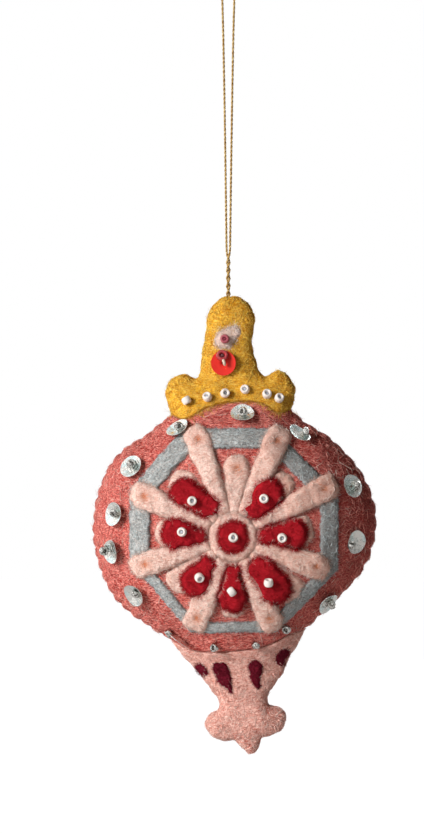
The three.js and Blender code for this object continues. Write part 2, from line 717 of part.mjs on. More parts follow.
// The hanging loop: two strands that spread from the stem to the round top
const cordSection = (diameter, sides) => new THREE.Shape(Array.from({ length: sides }, (_, i) => {
  const turn = (2 * Math.PI * i) / sides;
  return new THREE.Vector2(Math.cos(turn), Math.sin(turn)).multiplyScalar(diameter / 2);
}));
const strandSides = 8;
const loopSteps = 80;
const footSpread = (strandDiameter + gap) / 2;
const legFoot = -loopDrop + stemDiameter / 2 + gap;
const bightSteps = 8;
const bightPoints = Array.from({ length: bightSteps + 1 }, (_, i) => {
  const turn = (Math.PI * i) / bightSteps;
  return new THREE.Vector3(-bightRadius * Math.cos(turn), 0, bightRadius * Math.sin(turn));
});
const legShares = [1, 0.62, 0.2];
const legPower = 0.6;
const legPoints = legShares.map((share) => new THREE.Vector3(
  -(bightRadius + (footSpread - bightRadius) * share ** legPower),
  0,
  legFoot * share,
));
const mirrored = legPoints.map((p) => new THREE.Vector3(-p.x, p.y, p.z)).reverse();
const loopPoints = [...legPoints, ...bightPoints, ...mirrored];
const loopPath = new THREE.CatmullRomCurve3(loopPoints, false, "centripetal");
add("hanging_loop", tidy(new THREE.ExtrudeGeometry(cordSection(strandDiameter, strandSides), {
  extrudePath: loopPath, steps: loopSteps,
})), goldThread);

// The stem: both strands twisted together, its top round about the point that it swings on
const capCrest = capRegion.rim.filter((p) => Math.abs(p.x) < stemDiameter).map((p) => p.y);
const stemFoot = Math.max(...capCrest) + gap;
const stemTop = -loopDrop;
const stemRadius = stemDiameter / 2;
const roundTurns = [0, 30, 60, 90].map(THREE.MathUtils.degToRad);
const stemProfile = [
  new THREE.Vector2(0, stemFoot),
  new THREE.Vector2(stemRadius, stemFoot),
  ...roundTurns.map((turn) => (
    new THREE.Vector2(stemRadius * Math.cos(turn), stemTop + stemRadius * Math.sin(turn))
  )),
];
stemProfile[stemProfile.length - 1].x = 0;
const stem = new THREE.LatheGeometry(stemProfile, strandSides).rotateX(Math.PI / 2);
add("loop_stem", tidy(stem), goldThread);

export default ornament;
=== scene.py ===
import functools
import json
import math

import bpy
import numpy as np
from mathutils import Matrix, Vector
from mathutils.geometry import delaunay_2d_cdt

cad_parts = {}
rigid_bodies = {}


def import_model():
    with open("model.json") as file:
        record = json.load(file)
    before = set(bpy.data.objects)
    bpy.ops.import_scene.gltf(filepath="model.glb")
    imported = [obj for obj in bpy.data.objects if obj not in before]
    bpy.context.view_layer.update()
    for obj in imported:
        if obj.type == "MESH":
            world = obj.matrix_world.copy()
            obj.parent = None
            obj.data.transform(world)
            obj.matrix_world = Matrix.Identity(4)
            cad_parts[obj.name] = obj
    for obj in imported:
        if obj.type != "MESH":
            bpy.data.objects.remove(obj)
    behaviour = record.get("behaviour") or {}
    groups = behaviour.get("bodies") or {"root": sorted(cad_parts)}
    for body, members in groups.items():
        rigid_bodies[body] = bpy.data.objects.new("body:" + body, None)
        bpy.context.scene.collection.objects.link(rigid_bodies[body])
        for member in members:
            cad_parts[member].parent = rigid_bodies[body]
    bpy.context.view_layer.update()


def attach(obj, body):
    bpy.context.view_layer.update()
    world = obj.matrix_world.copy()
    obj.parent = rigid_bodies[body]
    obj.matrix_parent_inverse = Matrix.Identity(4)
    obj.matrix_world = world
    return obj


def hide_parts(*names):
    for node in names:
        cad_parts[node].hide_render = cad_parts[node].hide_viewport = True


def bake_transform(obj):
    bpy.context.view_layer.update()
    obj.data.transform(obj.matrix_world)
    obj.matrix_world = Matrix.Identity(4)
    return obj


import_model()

bl_info = {
    "name": "Felt Ornament",
    "version": (1, 0, 0),
    "blender": (4, 5, 0),
    "location": "3D View > Sidebar > Ornament",
    "description": "Builds a stuffed wool felt ornament with its beads, sequins and twisted cord",
    "category": "Add Mesh",
}

MM = 0.001
BODY = "ornament"
SEED = 7
STEPS_PER_STITCH = 8
CAP_TOP = -88.5 * MM  # where the cord goes into the felt
CAP_FOOT_SHARE = 0.958  # of the body's half height, up from its centre
TAIL_TOP_SHARE = 0.908  # and down from it
BEDDING = 0.15 * MM  # how far a wool pad is sunk into the felt
SMOOTH_STEP = 0.3 * MM  # between the points of a pad's outline
LONG_LUMPS = (7 * MM, 16 * MM)  # shortest and longest waves of the stuffed felt
SHORT_LUMPS = (2.5 * MM, 7 * MM)  # and of a wool pad
CHUNK = 4000  # points measured at a time, to save memory
FELT_STEP = 0.62 * MM  # between the points inside a felt panel
PAD_STEP = 0.42 * MM  # and inside a wool pad
EDGE_REACH = 1.5 * MM  # how far in a stitch moves the felt's edge
PUFF_REACH = 1.9 * MM  # and how far in it draws the felt's face down
BAND_EDGE = 0.8 * MM  # rounding of the band
SEQUIN_SEAT = 2.2 * MM  # how far out the slope under a sequin is measured
SMALL_HOLE = 0.4 * MM  # in the silver and the pink beads
WHITE = (1, 1, 1, 1)

# The outline of the felt. Each table holds shares of a region's half width and height, right and
# up from its centre for the body, from the foot of the cap and down from the top of the tail.
BODY_LEFT_SHARES = [
    (-0.454, 0.967), (-0.65, 0.785), (-0.785, 0.68), (-0.908, 0.51), (-1.0, 0.158), (-0.986, -0.2),
    (-0.858, -0.55), (-0.66, -0.758), (-0.447, -0.917),
]
BODY_RIGHT_SHARES = [
    (0.496, -0.817), (0.716, -0.583), (0.922, -0.292), (1.004, 0.058), (0.929, 0.417),
    (0.716, 0.733), (0.496, 0.908), (0.397, 1.008),
]
CAP_JOIN_SHARES = [
    (-0.454, 0.967), (-0.355, 0.929), (-0.191, 1.025), (0.007, 1.071), (0.191, 1.058),
    (0.298, 0.983), (0.397, 1.008),
]
TAIL_JOIN_SHARES = [
    (-0.447, -0.917), (-0.284, -0.992), (-0.021, -0.992), (0.206, -0.95), (0.411, -0.842),
    (0.496, -0.817),
]
CAP_SIDE_SHARES = [
    (-1.0, 0.193), (-0.915, 0.303), (-0.713, 0.349), (-0.512, 0.315), (-0.434, 0.529),
    (-0.372, 0.714), (-0.341, 0.857), (-0.14, 0.983), (0.171, 0.987), (0.372, 0.849),
    (0.341, 0.597), (0.519, 0.332), (0.76, 0.382), (0.992, 0.252), (0.992, 0.134),
]
TAIL_SIDE_SHARES = [
    (-0.88, 0.143), (-0.649, 0.283), (-0.464, 0.424), (-0.317, 0.546), (-0.325, 0.599),
    (-0.479, 0.661), (-0.541, 0.735), (-0.479, 0.818), (-0.294, 0.884), (-0.094, 0.884),
    (0.045, 0.959), (0.153, 0.998), (0.26, 0.972), (0.33, 0.867), (0.492, 0.836), (0.638, 0.788),
    (0.707, 0.696), (0.646, 0.604), (0.461, 0.573), (0.414, 0.507), (0.492, 0.424),
    (0.661, 0.283), (0.769, 0.143), (0.908, 0.02),
]

# The flower. Corners of the band as shares of its half width and height, its width on each side,
# and each petal's direction in degrees clockwise from up with the share of the way to the band's
# outer edge that its tip reaches.
OCTAGON_SHARES = [
    (-0.487, 1), (0.36, 1), (0.985, 0.37), (0.985, -0.374), (0.41, -0.98), (-0.42, -0.99),
    (-1, -0.28), (-1, 0.412),
]
BAND_WIDTH_SHARES = [1.1, 0.95, 1, 0.71, 0.58, 0.6, 1.12, 1.12]
LONG_PETAL_SHARES = [
    (340.6, 1.15), (24.2, 1.17), (61.6, 1.13), (110, 0.98), (156.2, 1.01), (203.2, 1.0),
    (252.3, 1.02), (295.1, 1.07),
]
# Short petals: the place of each tip from the flower's centre, as shares of the band's half sizes,
# and its radius as a share of the usual one
SHORT_PETAL_SHARES = [
    (0.036, 0.67, 0.97), (0.456, 0.507, 0.97), (0.634, 0.064, 1.03), (0.549, -0.511, 1.03),
    (-0.003, -0.656, 0.96), (-0.493, -0.403, 1.05), (-0.594, 0.033, 1.1), (-0.47, 0.507, 1.05),
]
# Hearts: root, tip and bead in the same way, then both radii as shares of a short petal's tip
HEART_SHARES = [
    ((0.218, 0.268), (0.331, 0.429), (0.296, 0.377), (0.68, 1.0)),
    ((0.316, 0.015), (0.572, 0.028), (0.467, -0.004), (0.5, 0.93)),
    ((0.269, -0.317), (0.393, -0.488), (0.334, -0.437), (0.82, 1.06)),
    ((0, -0.348), (-0.003, -0.581), (-0.009, -0.527), (0.52, 0.92)),
    ((-0.252, -0.278), (-0.345, -0.426), (-0.316, -0.385), (0.6, 0.96)),
    ((-0.33, 0.009), (-0.524, 0.033), (-0.484, 0.053), (0.5, 1.02)),
    ((-0.24, 0.297), (-0.455, 0.425), (-0.39, 0.352), (0.74, 0.92)),
]

# Beads and sequins as shares of the region that they lie on
CAP_BEAD_SHARES = [
    (-0.66, 0.113), (-0.35, 0.145), (-0.087, 0.177), (0.235, 0.215), (0.565, 0.173),
    (0.744, 0.14),
]
SPOT_SHARES = [(-0.087, 0.64), (0.068, 0.703), (-0.082, 0.641)]
RED_SEQUIN_SHARES = [(-0.102, 0.44), (-0.118, 0.496)]
SEQUIN_SHARES = [
    (0.05, 0.95), (-0.395, 0.83), (0.44, 0.785), (-0.718, 0.52), (0.803, 0.367), (-0.835, 0.14),
    (0.828, -0.08), (-0.85, -0.163), (-0.695, -0.507), (0.632, -0.575), (-0.372, -0.86),
]
CRYSTAL_SHARES = [(-0.142, -0.942), (0.142, -0.925), (0.348, -0.792)]
# Drops: head and tip, then both radii as shares of the usual head's
DROP_SHARES = [
    ((-0.625, 0.232), (-0.53, 0.288), (0.62, 0.62)), ((-0.302, 0.252), (-0.148, 0.45), (1.45, 0.3)),
    ((0.242, 0.239), (0.27, 0.415), (1.3, 0.36)), ((0.676, 0.117), (0.615, 0.187), (0.9, 0.9)),
]
# Specks of darker wool: places, and radius as a share of a silver bead's
SPECK_SHARES = {
    "tail": [
        (-0.8, 0.09, 0.5), (0.59, 0.669, 0.4), (0.54, 0.757, 0.4), (0.086, 0.889, 0.4),
        (0.148, 0.93, 0.5), (0.163, 0.966, 0.35), (-0.03, 0.845, 0.7), (0.25, 0.796, 0.4),
        (0.42, 0.605, 0.9), (0.3, 0.6, 0.5), (-0.36, 0.612, 0.3), (0.62, 0.3, 0.5),
    ],
    "cap": [(-0.66, 0.36, 0.5), (-0.56, 0.33, 0.4), (0.86, 0.1, 0.5), (0.42, 0.5, 0.35)],
}
# The darker second colour of some wools, and its share at the right. That share is painted shade:
# it darkens the side that faces away from the key light. The same colour also tints the petals'
# dimples and the specks on cap and tail.
DARK_TONE_AND_PAINTED_SHADE = {
    "coral": ("#6A0C0C", 0.5), "yellow": ("#A65A16", 0.3), "pink": ("#B4402F", 0.12),
    "petal": ("#C8754F", 0.45), "grey": ("#453E3C", 0.6),
}
# Each wool's dark and pale streaks, how strongly they show, the seed of its pattern and the
# colour of its flecks
WOOL_TONES = {
    "coral": ("#861A1C", "#FFB0A2", 1.15, 0, None),
    "yellow": ("#C06E14", "#FFE070", 0.85, 6, "#8A4A16"),
    "pink": ("#C9705E", "#FFE2D6", 0.95, 3, "#B4584A"),
    "petal": ("#CC7C60", "#FFF0E6", 0.6, 2, None),
    "grey": ("#4E5658", "#DFE9EA", 0.65, 1, "#4A565C"),
    "red": ("#7E0D18", "#CF3139", 0.4, 4, None),
    "burgundy": ("#3A0812", "#93283C", 0.5, 9, None),
    "spot": ("#D9AF9C", "#FFF4EC", 0.2, 5, None),
}
# How far each sequin's bead sits from the sequin's centre, as shares of the sequin's radius
SEQUIN_BEAD_SHARES = [
    (0.05, 0.2), (0.1, 0.15), (0.55, 0.3), (0.0, 0.25), (0.45, 0.1), (0.1, 0.1),
    (-0.5, -0.2), (-0.85, 0.0), (0.2, 0.2), (0.4, -0.35), (-1.1, 0.1),
]


def linear(code):
    """Three linear shares of an sRGB code such as #CF5B55."""
    values = [int(code[i : i + 2], 16) / 255 for i in (1, 3, 5)]
    return tuple(v / 12.92 if v <= 0.04045 else ((v + 0.055) / 1.055) ** 2.4 for v in values)


def length_prop(name, description, value):
    return bpy.props.FloatProperty(
        name=name, description=description, default=value, precision=5, unit="LENGTH"
    )


def number_prop(name, description, value):
    return bpy.props.FloatProperty(name=name, description=description, default=value, min=0)


def colour_prop(name, description, code):
    return bpy.props.FloatVectorProperty(
        name=name, description=description, default=linear(code), subtype="COLOR", min=0, max=1
    )


class ShapeSettings(bpy.types.PropertyGroup):
    body_half_width: length_prop("Body half width", "From the body's centre to its side", 39.3 * MM)
    body_half_height: length_prop("Body half height", "From its centre to its top", 33.5 * MM)
    cap_half_width: length_prop("Cap half width", "From the cap's middle to a lobe's side", 18 * MM)
    cap_height: length_prop("Cap height", "From the cap's foot to its top", 33.2 * MM)
    tail_half_width: length_prop("Tail half width", "Half of its width at the top", 18.1 * MM)
    tail_height: length_prop("Tail height", "From the tail's top to its lowest lobe", 31.8 * MM)
    body_offset: length_prop("Body offset", "Body's middle, right of the cord", 1.9 * MM)
    cap_offset: length_prop("Cap offset", "Cap's middle, right of the cord", 0.5 * MM)
    tail_offset: length_prop("Tail offset", "Tail's middle, right of the cord", 3.3 * MM)
    felt: length_prop("Felt thickness", "Thickness of the sewn wool felt", 1.6 * MM)
    gap: length_prop("Gap", "Clearance between two pieces", 0.3 * MM)
    crown: length_prop("Crown", "How far the stuffing lifts the felt in the middle", 15.5 * MM)
    crown_depth: length_prop("Crown depth", "How far in from the seam it is full", 22 * MM)
    crown_power: number_prop("Crown power", "How round the stuffed edge is", 0.65)
    end_fullness: number_prop("End fullness", "Share of the crown at cap and tail", 0.18)
    end_depth: length_prop("End depth", "How far in from the seam cap and tail are full", 6.5 * MM)
    end_slack: number_prop("End slack", "How far cap and tail swell between stitches", 0.45)
    lumps: length_prop("Lumps", "Unevenness of the stuffed felt", 0.16 * MM)
    left_pitch: length_prop("Left stitch pitch", "Between whip stitches on the left", 3.5 * MM)
    right_pitch: length_prop("Right stitch pitch", "Between whip stitches on the right", 5 * MM)
    end_pitch: length_prop("End stitch pitch", "Between stitches on cap and tail", 4 * MM)
    scallop: length_prop("Scallop", "How far the felt swells between stitches", 0.6 * MM)
    pull: length_prop("Pull", "How far a stitch draws the edge in", 0.45 * MM)
    edge_radius: length_prop("Edge radius", "Rounding of a cut felt edge", 1.0 * MM)


class FlowerSettings(bpy.types.PropertyGroup):
    side_margin: length_prop("Side margin", "From the band to the body's side", 10.4 * MM)
    end_margin: length_prop("End margin", "From the band to the body's top", 5.2 * MM)
    band_width: length_prop("Band width", "Full width of the octagonal band", 4.8 * MM)
    band_thickness: length_prop("Band thickness", "Height of the band on the felt", 0.9 * MM)
    petal_thickness: length_prop("Petal thickness", "Height of a petal", 1.4 * MM)
    short_height: number_prop("Short petal height", "Share of a long petal's height", 0.85)
    heart_thickness: length_prop("Heart thickness", "Height of a heart on its petal", 0.55 * MM)
    disc_radius: length_prop("Disc radius", "Radius of the flower's centre", 6.9 * MM)
    heart_radius: length_prop("Centre heart radius", "Radius of the centre's heart", 4 * MM)
    long_tip: length_prop("Long petal tip", "Radius of a long petal's tip", 3.6 * MM)
    long_root: length_prop("Long petal root", "Radius of a long petal's root", 2.3 * MM)
    short_tip: length_prop("Short petal tip", "Radius of a short petal's tip", 3.8 * MM)
    short_root: length_prop("Short petal root", "Radius of a short petal's root", 2 * MM)
    pad_edge: length_prop("Pad edge", "Rounding of a wool pad's edge", 1.7 * MM)


class TrimSettings(bpy.types.PropertyGroup):
    bead_radius: length_prop("Bead radius", "Radius of a white seed bead", 1.34 * MM)
    bead_hole: length_prop("Bead hole", "Radius of its hole", 0.45 * MM)
    bead_half_height: length_prop("Bead half height", "Half of its height", 1.0 * MM)
    silver_radius: length_prop("Silver bead radius", "Radius of a silver bead", 1.3 * MM)
    silver_half_height: length_prop("Silver bead half height", "Half of its height", 0.85 * MM)
    sequin_radius: length_prop("Sequin radius", "Radius of a cup sequin", 3.3 * MM)
    sequin_cup: length_prop("Sequin cup", "Depth of a cup sequin", 0.8 * MM)
    sequin_sheet: length_prop("Sequin sheet", "Thickness of its plastic", 0.14 * MM)
    red_radius: length_prop("Red sequin radius", "Radius of the red sequin", 3.5 * MM)
    drop_radius: length_prop("Drop radius", "Radius of a burgundy drop's head", 1.5 * MM)
    drop_thickness: length_prop("Drop thickness", "Height of a drop", 0.6 * MM)
    spot_radius: length_prop("Spot radius", "Radius of the wool spot on the cap", 2.75 * MM)
    thread: length_prop("Thread", "Thickness of the sewing thread", 0.26 * MM)


class CordSettings(bpy.types.PropertyGroup):
    strand: length_prop("Strand diameter", "Thickness of the metallic thread", 0.67 * MM)
    strand_lay: length_prop("Strand lay", "One turn of the thread's two plies", 2.5 * MM)
    pair_lay: length_prop("Pair lay", "One turn of the two strands round each other", 4.4 * MM)
    bight: length_prop("Bight radius", "Radius of the bend at the top", 2 * MM)
    drop: length_prop("Loop drop", "From the top of the loop's legs to the twist", 75.9 * MM)
    foot: length_prop("Foot", "Where the cord goes into the felt", 88.9 * MM)


class ColourSettings(bpy.types.PropertyGroup):
    coral: colour_prop("Coral", "Felt of the body", "#E05C50")
    yellow: colour_prop("Yellow", "Felt of the cap", "#F8BC2C")
    pink: colour_prop("Pink", "Felt of the tail", "#FFC8B6")
    petal: colour_prop("Petal", "Wool of the petals", "#FFE0D2")
    grey: colour_prop("Grey blue", "Felt of the band", "#C8C0BA")
    red: colour_prop("Red", "Wool of the hearts", "#B41E29")
    burgundy: colour_prop("Burgundy", "Wool of the drops", "#6E1A28")
    spot: colour_prop("Spot", "Wool of the pale leaf on the cap", "#F2DACB")
    pearl: colour_prop("Pearl", "White seed beads", "#F3EAE2")
    silver: colour_prop("Silver", "Sequins and their beads", "#E8E6E0")
    red_plastic: colour_prop("Red plastic", "Red sequin and bead", "#E2352C")
    gold: colour_prop("Gold", "Metallic thread of the cord", "#B98C46")


class StageSettings(bpy.types.PropertyGroup):
    distance: length_prop("Camera distance", "From the camera to the ornament", 1.2)
    across: length_prop("Camera offset", "Camera's place across", -4.55 * MM)
    up: length_prop("Camera height", "Camera's place up", -122.1 * MM)
    field: length_prop("Field height", "Height of the picture at the ornament", 232.7 * MM)
    key: number_prop("Key light", "Power of the key light in watts", 18.2)
    fill: number_prop("Fill", "Strength of the warm surroundings for soft light", 0.05)
    floor: length_prop("Floor", "Height of the floor", -0.262)


GROUPS = {
    "ornament_shape": ShapeSettings,
    "ornament_flower": FlowerSettings,
    "ornament_trim": TrimSettings,
    "ornament_cord": CordSettings,
    "ornament_colours": ColourSettings,
    "ornament_stage": StageSettings,
}


def settings(name):
    """One of the scene's groups of sizes and colours."""
    return getattr(bpy.context.scene, "ornament_" + name)


# Lines and outlines


def smooth_line(points, count):
    """Points at even steps along a centripetal Catmull-Rom curve.

    Between b and c with neighbours a and d, and k0, k1, k2 the square roots of the three chords,
    the slope at b is k1 ((b-a)/k0 - (c-a)/(k0+k1) + (c-b)/k1), and alike at c. A cubic joins them.
    """
    p = np.array(points, float)
    p = np.vstack([2 * p[0] - p[1], p, 2 * p[-1] - p[-2]])
    k = np.sqrt(np.linalg.norm(np.diff(p, axis=0), axis=1))[:, None]
    a, b, c, d = p[:-3], p[1:-2], p[2:-1], p[3:]
    k0, k1, k2 = k[:-2], k[1:-1], k[2:]
    m0 = k1 * ((b - a) / k0 - (c - a) / (k0 + k1) + (c - b) / k1)
    m1 = k1 * ((c - b) / k1 - (d - b) / (k1 + k2) + (d - c) / k2)
    t = np.linspace(0, 1, 25)[:-1][None, :, None]
    b, c, m0, m1 = (v[:, None, :] for v in (b, c, m0, m1))
    curve = (
        (2 * t**3 - 3 * t**2 + 1) * b
        + (t**3 - 2 * t**2 + t) * m0
        + (3 * t**2 - 2 * t**3) * c
        + (t**3 - t**2) * m1
    )
    curve = np.vstack([curve.reshape(-1, p.shape[1]), p[-2]])
    return even_steps(curve, count)


def arc_lengths(line):
    """How far along an open line each of its points lies."""
    return np.concatenate([[0], np.cumsum(np.linalg.norm(np.diff(line, axis=0), axis=1))])


def even_steps(line, count):
    """count + 1 points at even distances along an open line."""
    far = arc_lengths(line)
    wanted = np.linspace(0, far[-1], count + 1)
    return np.column_stack([np.interp(wanted, far, line[:, i]) for i in range(line.shape[1])])


def closed_steps(line, step):
    """A closed line cut into even steps of about that length, without the repeated last point."""
    whole = np.vstack([line, line[:1]])
    return even_steps(whole, int(round(arc_lengths(whole)[-1] / step)))[:-1]


def unit(rows):
    """Rows scaled to length 1."""
    return rows / np.linalg.norm(rows, axis=1)[:, None]


def turned_right(run):
    """Flat directions after a quarter turn clockwise."""
    return np.column_stack([run[:, 1], -run[:, 0]])


def outward(outline):
    """Unit normals that point out of a closed outline that runs anticlockwise."""
    return turned_right(unit(np.roll(outline, -1, 0) - np.roll(outline, 1, 0)))


def nearest(points, outline):
    """Distance from each point to a closed outline, and the index of its nearest point."""
    step = np.roll(outline, -1, 0) - outline
    square = (step**2).sum(1)
    distance, index = np.empty(len(points)), np.empty(len(points), int)
    for start in range(0, len(points), CHUNK):
        part = slice(start, start + CHUNK)
        away = points[part][:, None] - outline[None]
        share = np.clip((away * step).sum(2) / square, 0, 1)
        left = ((away - share[..., None] * step) ** 2).sum(2)
        best = left.argmin(1)
        rows = np.arange(len(best))
        distance[part] = np.sqrt(left[rows, best])
        index[part] = (best + np.round(share[rows, best]).astype(int)) % len(outline)
    return distance, index


def inside(points, outline):
    """True for each point within a closed outline, by how often a ray to the right crosses it."""
    crossings = np.zeros(len(points), int)
    for a, b in zip(outline, np.roll(outline, -1, 0)):
        spans = (a[1] > points[:, 1]) != (b[1] > points[:, 1])
        rise = np.where(spans, b[1] - a[1], 1)
        cut = a[0] + (points[:, 1] - a[1]) * (b[0] - a[0]) / rise
        crossings += spans & (points[:, 0] < cut)
    return crossings % 2 == 1


def signed_distance(points, outline):
    """Distance to a closed outline, positive inside it."""
    return nearest(points, outline)[0] * np.where(inside(points, outline), 1, -1)


def fill(outline, insets, spacing):
    """Points and triangles that fill a closed outline.

    The points are the outline's own, rows of them moved in by each inset, and inside the last row
    an even triangular lattice. A constrained Delaunay triangulation joins them. The outline's
    points come first.
    """
    count, normals = len(outline), outward(outline)
    rows = [outline]
    for inset in insets:
        row = outline - normals * inset
        fits = (nearest(row, outline)[0] > 0.93 * inset) & inside(row, outline)
        rows.append(row[fits])
    low, high = outline.min(0), outline.max(0)
    x, z = np.meshgrid(
        np.arange(low[0], high[0], spacing), np.arange(low[1], high[1], spacing * math.sqrt(0.75))
    )
    x[1::2] += spacing / 2
    lattice = np.column_stack([x.ravel(), z.ravel()])
    lattice = lattice[inside(lattice, outline)]
    last = insets[-1] if insets else 0
    lattice = lattice[nearest(lattice, outline)[0] > last + 0.55 * spacing]
    points = np.vstack([*rows, lattice])
    loop = [(i, (i + 1) % count) for i in range(count)]
    made = delaunay_2d_cdt([Vector(p / MM) for p in points], loop, [], 1, 1e-5)
    source = np.array([ids[0] for ids in made[3]])
    triangles = source[np.array(made[2])]
    a, b, c = (points[triangles[:, i]] for i in range(3))
    turned = np.cross(b - a, c - a) < 0
    triangles[turned] = triangles[turned][:, ::-1]
    return points, triangles


def waves(points, seed, shortest, longest, count=14):
    """A smooth uneven field of about 1: plane waves with seeded directions, lengths and phases."""
    rng = np.random.default_rng(seed)
    total = np.zeros(len(points))
    for _ in range(count):
        turn, phase = rng.uniform(0, 2 * math.pi, 2)
        wave = rng.uniform(shortest, longest)
        run = points[:, 0] * math.cos(turn) + points[:, 1] * math.sin(turn)
        total += np.sin(2 * math.pi * run / wave + phase)
    return total * math.sqrt(2 / count)


def roll(share):
    """Height of a rounded edge: 0 at the edge and 1 from one radius in, sqrt(1 - (1 - share)^2)."""
    return np.sqrt(1 - (1 - np.clip(share, 0, 1)) ** 2)


# The ornament's outline and the height of its felt


def on_region(name, pairs):
    """Places in metres, across and up, for pairs of shares of body, cap or tail."""
    s = settings("shape")
    half = s.body_half_height
    foot = CAP_TOP - s.cap_height
    centre = foot - CAP_FOOT_SHARE * half
    tail_top = centre - TAIL_TOP_SHARE * half
    scale, origin = {
        "body": ((s.body_half_width, half), (s.body_offset, centre)),
        "cap": ((s.cap_half_width, s.cap_height), (s.cap_offset, foot)),
        "tail": ((s.tail_half_width, -s.tail_height), (s.tail_offset, tail_top)),
    }[name]
    return np.array(pairs, float).reshape(-1, 2) * scale + origin


def edge_of(points, pitch=None, slack=1):
    """One edge of a region: its line, its swell between stitches, and slack where it is sewn."""
    if pitch is None:
        line = smooth_line(points, int(arc_lengths(points)[-1] / (0.5 * MM)))
        return {"line": line, "swell": np.zeros(len(line)), "sewn": np.zeros(len(line))}
    stitches = round(arc_lengths(smooth_line(points, 200))[-1] / pitch)
    line = smooth_line(points, stitches * STEPS_PER_STITCH)
    phase = np.arange(len(line)) / STEPS_PER_STITCH
    rng = np.random.default_rng(SEED + stitches)
    uneven = rng.uniform(0.45, 1.15, stitches + 1)[phase.astype(int)]
    swell = np.abs(np.sin(math.pi * phase)) * uneven
    return {"line": line, "swell": swell, "sewn": np.full(len(line), slack)}


def turned_round(edge):
    return {key: value[::-1] for key, value in edge.items()}


def ring_of(*edges):
    """Edges end to end, anticlockwise, as one closed region."""
    return {key: np.concatenate([e[key][:-1] for e in edges]) for key in edges[0]}


@functools.cache
def regions():
    """The closed outlines of body, cap and tail, the seam round all three, and the cap's join."""
    s = settings("shape")
    left = edge_of(on_region("body", BODY_LEFT_SHARES), s.left_pitch)
    right = edge_of(on_region("body", BODY_RIGHT_SHARES), s.right_pitch)
    joins, sides = {}, {}
    for name, join_shares, side_shares in (
        ("cap", CAP_JOIN_SHARES, CAP_SIDE_SHARES),
        ("tail", TAIL_JOIN_SHARES, TAIL_SIDE_SHARES),
    ):
        join = on_region("body", join_shares)
        joins[name] = edge_of(join)
        side = np.vstack([join[:1], on_region(name, side_shares), join[-1:]])
        sides[name] = edge_of(side, s.end_pitch, s.end_slack)
    over_cap = turned_round(sides["cap"])
    return {
        "body": ring_of(left, joins["tail"], right, turned_round(joins["cap"])),
        "cap": ring_of(over_cap, joins["cap"]),
        "tail": ring_of(sides["tail"], turned_round(joins["tail"])),
        "seam": ring_of(left, sides["tail"], right, over_cap),
        "cap_join": joins["cap"],
    }


@functools.cache
def seam_line():
    """The sewn edge in even steps, which the felt's height is measured from."""
    return closed_steps(regions()["seam"]["line"], 2.2 * MM)


def seam_distance(points):
    """Smooth distance from the sewn edge, which near the edge is the plain distance.

    sqrt(2 / the integral of 1 / r^3 along the seam), where each straight piece of it adds
    ((L - f) / hypot(L - f, h) + f / hypot(f, h)) / h^2, with f the foot and h the distance off it.
    """
    seam = seam_line()
    step = np.roll(seam, -1, 0) - seam
    length = np.linalg.norm(step, axis=1)
    run = step / length[:, None]
    least = settings("cord").strand / 1000
    result = np.empty(len(points))
    for start in range(0, len(points), CHUNK):
        away = points[start : start + CHUNK][:, None] - seam[None]
        foot = (away * run).sum(2)
        off = np.sqrt(np.maximum((away**2).sum(2) - foot**2, least**2))
        left = length - foot
        pull = (left / np.hypot(left, off) + foot / np.hypot(foot, off)) / off**2
        result[start : start + CHUNK] = np.sqrt(2 / pull.sum(1))
    return result


def face_height(points):
    """Height of the outer felt: felt + gap / 2 + crown * stuffed * (1 - (1 - d / depth)^2)^power.

    Both stuffed and depth ease from the body's values to those of the flatter cap and tail.
    """
    s = settings("shape")
    centre = on_region("body", (0, 0))[0, 1]
    away = np.abs(points[:, 1] - centre) / s.body_half_height
    t = np.clip((away - 0.5) / 0.75, 0, 1)
    end = t * t * (3 - 2 * t)
    stuffed = 1 - (1 - s.end_fullness) * end
    depth = s.crown_depth + (s.end_depth - s.crown_depth) * end
    inner = 1 - np.minimum(seam_distance(points) / depth, 1)
    return s.felt + s.gap / 2 + s.crown * stuffed * (1 - inner**2) ** s.crown_power


def painted_shade_share(points, kind):
    """Painted shade: how much of a wool's darker colour is mixed in. None at the flower's centre
    and most at the right, the side away from the key light.
    """
    across = (points[:, 0] - flower_centre()[0]) / settings("shape").body_half_width
    return DARK_TONE_AND_PAINTED_SHADE.get(kind, (0, 0))[1] * np.clip(across, 0, 1)


def felt_top(points):
    """Height of the front felt with its low lumps, where pads and beads rest."""
    points = np.asarray(points, float).reshape(-1, 2)
    return face_height(points) + settings("shape").lumps * waves(points, SEED, *LONG_LUMPS)


def edge_shift(swell, away):
    """How far the sewn edge moves out: (scallop * swell^0.8 - pull) * exp(-away / 1.5 mm)."""
    s = settings("shape")
    return (s.scallop * swell**0.8 - s.pull) * np.exp(-away / EDGE_REACH)


# Meshes and materials


def linked(name, data):
    """A new object of the scene."""
    made = bpy.data.objects.new(name, data)
    bpy.context.scene.collection.objects.link(made)
    return made


def mesh_object(name, vertices, faces, material, slot=None, attributes=None, smooth=True):
    """A mesh object at the origin, with a float attribute per entry."""
    mesh = bpy.data.meshes.new(name)
    faces = faces if isinstance(faces, list) else faces.tolist()
    mesh.from_pydata(np.asarray(vertices).tolist(), [], faces)
    mesh.update()
    mesh.polygons.foreach_set("use_smooth", [smooth] * len(mesh.polygons))
    for key, values in (attributes or {}).items():
        layer = mesh.attributes.new(key, "FLOAT", "POINT")
        layer.data.foreach_set("value", np.asarray(values, np.float32))
    mesh.materials.append(material)
    made = linked(name, mesh)
    return made


def grid_quads(rows, columns, round_rows=True, round_columns=True):
    """Quads over rows of points, joined to their start in each direction that runs round."""
    i, j = np.meshgrid(
        np.arange(rows - (not round_rows)), np.arange(columns - (not round_columns)), indexing="ij"
    )
    n, m = (i + 1) % rows, (j + 1) % columns
    corners = [i * columns + j, i * columns + m, n * columns + m, n * columns + j]
    return np.stack(corners, axis=2).reshape(-1, 4)


def lifted(points, height):
    """Flat places, across and up, brought forward to a height: (x, -height, z)."""
    return np.column_stack([points[:, 0], -height, points[:, 1]])


